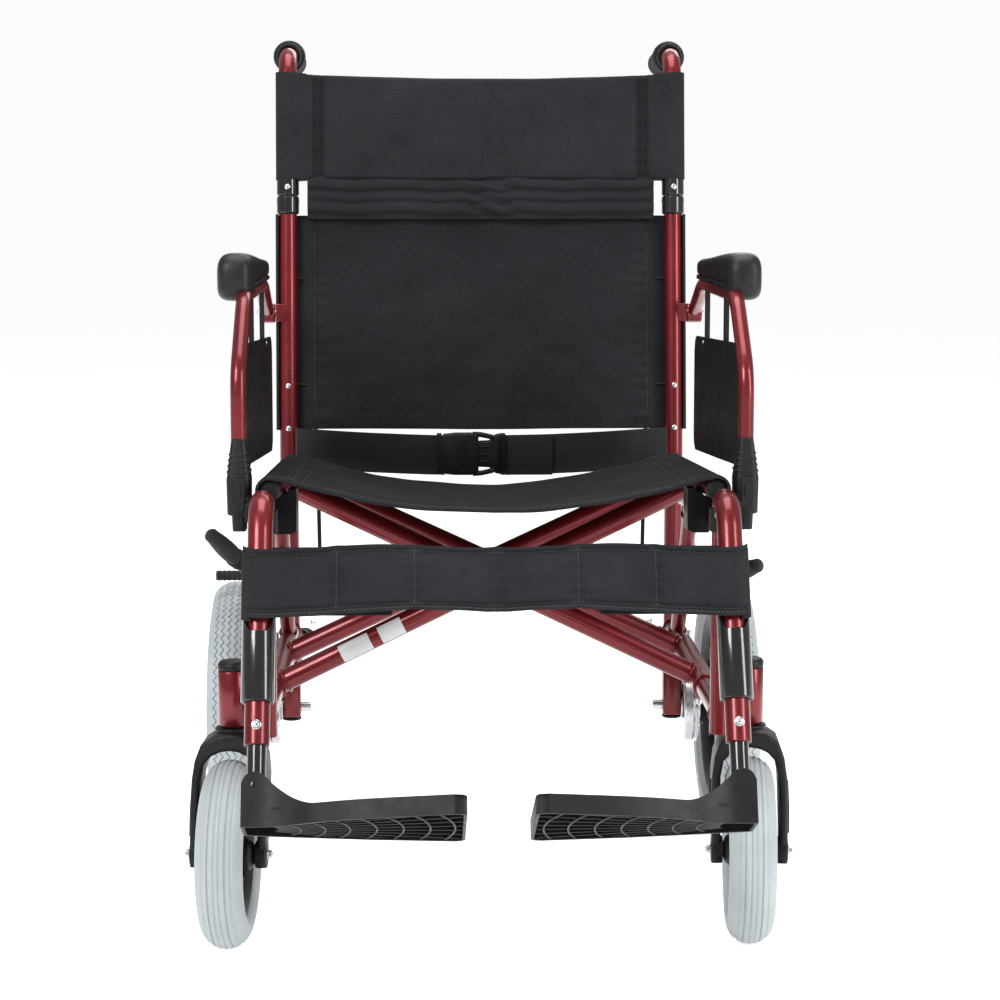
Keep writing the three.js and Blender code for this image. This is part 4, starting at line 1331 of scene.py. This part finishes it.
def seat():
    """The sling: it sags between the seat tubes and wraps over them, with a hem in front and behind."""
    shape = Shape()
    profile = profile_points(SEAT_FLAT_X, SEAT_X, 14.4, 118, -25, -SEAT_SAG, steps=160)
    rings = []
    stations = 96
    for i in range(stations + 1):
        t = i / stations
        y = SEAT_FRONT_Y + (SEAT_REAR_Y - SEAT_FRONT_Y) * t
        edge = min(y - SEAT_FRONT_Y, SEAT_REAR_Y - y)
        hem = 1.1 * (ease(0, 3, edge) - ease(25, 27, edge)) - 0.8 * exp(-(((edge - 26) / 1.3) ** 2))
        top = []
        under = []
        for x, out in profile:
            inner = 1 - ease(180, 222, abs(x))
            z = seat_z(x, y, out) + hem * (0.4 + 0.6 * inner)
            seam = 0.9 * exp(-(((abs(x) - 205) / 1.6) ** 2))
            top.append(Vector((x, y, z - seam)))
            around = Vector((x - copysign(SEAT_X, x), 0, out)).normalized() if abs(x) > 225 else Z
            under.append(Vector((x, y, z - seam)) - around * 2.9)
        rings.append(top + under[::-1])
    return shape.loft(rings).moved(FALL)


def seat_line(points, lift):
    """The points (x, y) set lift mm above the seat's face."""
    line = []
    for x, y in points:
        out = 12.7 - SEAT_SAG * (1 - (x / SEAT_FLAT_X) ** 2)
        line.append(FALL @ Vector((x, y, seat_z(x, y, out) + lift)))
    return line


seat_cloth = make("seat_sling", seat(), SEAT_CLOTH, "", "seat_sling", bevel=0, sharp=60)
seams = Shape()
for y in (-13, 410):
    stitches(seams, seat_line([(-216 + 432 * i / 60, y) for i in range(61)], 1.2))
for x in (-199, -209, 199, 209):
    stitches(seams, seat_line([(x, -30 + 455 * i / 60) for i in range(61)], 0.72))
seat_seams = make("seat_stitches", seams, THREAD, "", bevel=0)
for piece in (seat_cloth, seat_seams):
    start, end = (frame_point((x, 200, 480)) for x in (226, -226))
    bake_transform(piece)

# The back, drawn in its own frame: z runs up the reclined canes from the seat and y is to the rear.
BACK = Matrix.Translation((0, REAR_POST_Y, RECLINE_FROM_Z)) @ Matrix.Rotation(-RECLINE, 4, "X")


def lower_back_y(x, z, out):
    inner = 1 - ease(196, 226, abs(x))
    low = ease(110, 26, z)
    soft = wrinkle(x, z, 58, 4.2) + 2.6 * low * sin(x / 24 + z / 36) + 4.5 * low * sin((x + z) / 60)
    seam = 2.2 * exp(-(((abs(x) - 206) / 2.0) ** 2))
    pucker = 0.9 * exp(-(((abs(x) - 198) / 9) ** 2)) * sin(z / 2.6 + 2 * sin(z / 17))
    return out + inner * soft + seam + pucker


def lower_back():
    profile = profile_points(221, FRAME_X, 13.0, 128, -28, 7, steps=200)
    rings = []
    stations = 110
    for i in range(stations + 1):
        t = i / stations
        face = []
        rear = []
        for x, out in profile:
            low = 24 + 3.5 * (1 - (x / 250) ** 2) - 3 * cos(x / 70) * 0.5
            z = low + (291 - low) * t
            edge = min(z - low, 291 - z)
            hem = 0.9 * (ease(0, 3, edge) - ease(17, 19, edge))
            y = lower_back_y(x, z, out)
            face.append(Vector((x, y - hem - (1.0 if abs(x) < 226 else 0), z)))
            push = Vector((x - copysign(FRAME_X, x), out, 0)).normalized() if abs(x) > 225 else Y
            rear.append(Vector((x, y, z)) + push * 2.6)
        rings.append(face + rear[::-1])
    return Shape().loft(rings).moved(BACK)


def upper_sag(x):
    return 5.5 * (1 - (x / UPPER_BACK_X) ** 2)


def upper_section(x):
    """Half the depth of the upper cover across the chair: full round over each cane and thin at the seams."""
    a = abs(x)
    round_cane = sqrt(max(0.0, 14.8 ** 2 - (a - FRAME_X) ** 2)) if a > FRAME_X - 14.8 else 0
    pad = 7.2 - 6.2 * exp(-(((a - 196) / 2.4) ** 2)) - 6.2 * exp(-(((a - 204) / 2.4) ** 2))
    join = ease(206, 236, a)
    return max(round_cane, pad * (1 - join) + 14.8 * join if a < FRAME_X else 0, 0.4)


def upper_soft(x, z):
    """Soft dents of the upper cover, with short puckers beside its seams."""
    inner = 1 - ease(214, 240, abs(x))
    beside = exp(-(((abs(x) - 200) / 11) ** 2))
    pucker = 0.8 * beside * sin(z / 2.9 + 2.2 * sin(z / 19))
    return wrinkle(x, z, 60, 2.2) * inner + 0.5 * wrinkle(x, z, 26, 1.6) + pucker


def upper_back():
    """The cover that slips over the upper canes, padded between its two double seams."""
    across = 260
    rings = []
    stations = 60
    for i in range(stations + 1):
        t = i / stations
        face = []
        rear = []
        for j in range(across + 1):
            u = -1 + 2 * j / across
            x = UPPER_BACK_X * u
            bottom = 334 + 0.6 * sin(x / 33)
            top = 466 - 6.5 * (1 - (x / UPPER_BACK_X) ** 2)
            z = bottom + (top - bottom) * t
            edge = min(t, 1 - t) * (top - bottom)
            close = sqrt(min(1.0, edge / 3.2 + 0.02))
            half = upper_section(x) * (0.25 + 0.75 * close if abs(x) < 214 else 0.94 + 0.06 * close)
            sag = upper_sag(x)
            soft = upper_soft(x, z)
            face.append(Vector((x, sag - half + soft, z)))
            rear.append(Vector((x, sag + half + soft * 0.6, z)))
        rings.append(face + rear[::-1])
    return Shape().loft(rings).moved(BACK)


def pleats():
    """Three soft folds across the back at the hinge, between the canes."""
    rings = []
    for i in range(41):
        t = i / 40
        z = 286 + 54 * t
        face = []
        rear = []
        for j in range(121):
            x = -214 + 428 * j / 120
            sag = 4 * (1 - (x / 252) ** 2)
            crumple = exp(-(((x - 8) / 34) ** 2))
            shift = wrinkle(x, 40, 50, 2.5) + crumple * 2.6 * sin(x / 5.5)
            fold = 0.0
            for centre, size in ((299, 7), (313, 6), (328, 7)):
                fold += 5.8 * exp(-(((z - centre - shift) / size) ** 4))
            fold += crumple * 1.8 * sin(z / 3.4 + x / 9)
            y = sag - 1.5 - fold + wrinkle(x, z, 30, 1.5)
            face.append(Vector((x, y, z)))
            rear.append(Vector((x, sag + 4.5, z)))
        rings.append(face + rear[::-1])
    return Shape().loft(rings).moved(BACK)


def back_stitches(xs, low, high, front):
    shape = Shape()
    for x in xs:
        points = []
        for i in range(31):
            z = low + (high - low) * i / 30
            points.append((x, front(x, z), z))
        stitches(shape, points, radius=0.55)
    return shape.moved(BACK)


def squashed(piece, body):
    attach(piece, body)
    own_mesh(piece)


lower = make("back_lower", lower_back(), BACK_CLOTH, "", "back_lower", bevel=0, sharp=60)
squashed(lower, "frame_right")
upper = make("back_upper", upper_back(), BACK_CLOTH, "", "back_upper", bevel=0, sharp=60)
squashed(upper, "handle_right")
folds = make("back_pleats", pleats(), BACK_CLOTH, "", bevel=0, sharp=60)
squashed(folds, "handle_right")


def upper_front(x, z):
    return upper_sag(x) - upper_section(x) + upper_soft(x, z) - 0.5


def lower_front(x, z):
    return lower_back_y(x, z, 13.0 * sin(radians(128)) + 7 * (1 - (x / 221) ** 2)) - 1.2


SEAMS = (
    ("back_seams_upper", (-204, -196, 196, 204), 338, 458, upper_front, "handle_right"),
    ("back_seams_lower", (-206, 206), 30, 286, lower_front, "frame_right"),
)
for name, xs, low, high, front, body in SEAMS:
    squashed(make(name, back_stitches(xs, low, high, front), THREAD, "", bevel=0), body)


# Lap belt and its side-release buckle.
def belt():
    shape = Shape()
    for s, inner in ((1, 22), (-1, 46)):
        path = [(228, 462, 484), (200, 455, 483), (140, 449, 480), (80, 446, 477.5), (inner, 442.5, 477)]
        rings = []
        for i, p in enumerate(smooth_path(path, 8)):
            rings.append(soft_box((s * p.x, p.y + 0.8 * sin(i / 3), p.z), Y, Z, 1.1, 24.5, 1.0, 2))
        shape.loft(rings)
    return shape


def belt_fold():
    """The tail of the belt, doubled back through the buckle and held by a keeper."""
    rings = []
    for i in range(25):
        x = 24 + 62 * i / 24
        rings.append(soft_box((x, 440.6 + 0.8 * sin(i / 4) + i * 0.09, 476.5), Y, Z, 1.1, 24.2, 1.0, 2))
    return Shape().loft(rings)


def buckle():
    shape = Shape()
    y = 438
    body = [(-52, 18, 3.2), (-48, 24.5, 4.6), (-34, 26, 5.6), (-14, 26, 6.2), (-8, 25, 6.2), (-5, 23.5, 5.4)]
    shape.loft([soft_box((x, y, 479), Y, Z, d, h, 2.8, 4) for x, h, d in body])
    male = [(-5.6, 16, 4.4), (8, 16.5, 5.0), (16, 24, 4.8), (24, 25.5, 4.0), (28, 25, 3.0)]
    shape.loft([soft_box((x, y, 479), Y, Z, d, h, 2.6, 4) for x, h, d in male])
    for s in (-1, 1):
        arm = [(-12, 24.2), (-2, 23.6), (8, 21.5), (14, 20)]
        shape.loft([soft_box((x, y - 1, 479 + s * h), Y, Z, 4.6, 3.0, 2, 3) for x, h in arm])
    for x in (-26, -21.5, -17, 19.5, 23.5):
        shape.loft([soft_box((x, y - 5.4, 479 + z), X, Y, 0.9, 1.3, 0.6, 2) for z in (-19, 19)])
    for z in (470, 479, 488):
        shape.loft([soft_box((x, y - 5.0, z), Y, Z, 1.2, 1.0, 0.6, 2) for x in (-3, 10)])
    shape.loft([soft_box((x, y + 1, 479), Y, Z, 3.4, 25.5, 2.4, 3) for x in (-56, -50)])
    return shape


strap = make("lap_belt", belt(), STRAP, "", "lap_belt", bevel=0)
squashed(strap, "frame_right")
tail = make("lap_belt_tail", belt_fold(), STRAP, "", bevel=0)
squashed(tail, "frame_right")
clip = make("belt_buckle", buckle(), PLASTIC, "", "belt_buckle", bevel=0.5)
squashed(clip, "frame_right")


# Stage: a pale floor, a soft world and large soft lights.
WORLD_LIGHT = 0.42
WORLD_SEEN = 0.965


def stage():
    mesh = bpy.data.meshes.new("floor")
    mesh.from_pydata([(-30, -30, 0), (30, -30, 0), (30, 30, 0), (-30, 30, 0)], [], [(0, 1, 2, 3)])
    glow = {"Emission_Color": (1, 1, 1, 1), "Emission_Strength": 0.6}
    look = Look("floor", Roughness=0.9, Specular_IOR_Level=0.1, **glow)
    look.colour(look.noise(2), (0.86, 0.86, 0.86), (0.88, 0.88, 0.88))
    mesh.materials.append(look.material)
    floor = bpy.data.objects.new("floor", mesh)
    bpy.context.collection.objects.link(floor)
    world = bpy.data.worlds.new("world")
    world.use_nodes = True
    nodes = world.node_tree.nodes
    nodes["Background"].inputs["Color"].default_value = (1, 1, 1, 1)
    seen = nodes.new("ShaderNodeLightPath").outputs["Is Camera Ray"]
    strength = nodes.new("ShaderNodeMapRange")
    strength.inputs["To Min"].default_value = WORLD_LIGHT
    strength.inputs["To Max"].default_value = WORLD_SEEN
    world.node_tree.links.new(seen, strength.inputs["Value"])
    world.node_tree.links.new(strength.outputs["Result"], nodes["Background"].inputs["Strength"])
    bpy.context.scene.world = world
    lights = (
        ("key", (-1.9, -2.4, 2.6), (1.3, 1.3), 85),
        ("fill", (2.4, -1.8, 1.5), (0.7, 2.2), 55),
        ("top", (0, 0.2, 3.2), (2.0, 2.0), 60),
        ("rear", (0.6, 2.6, 2.2), (2.0, 1.2), 30),
    )
    for name, at, size, watts in lights:
        data = bpy.data.lights.new(name, "AREA")
        data.shape = "RECTANGLE"
        data.size, data.size_y = size
        data.energy = watts
        light = bpy.data.objects.new(name, data)
        light.location = at
        light.rotation_mode = "QUATERNION"
        light.rotation_quaternion = (Vector((0, 0, 0.45)) - Vector(at)).to_track_quat("-Z", "Y")
        bpy.context.collection.objects.link(light)


stage()
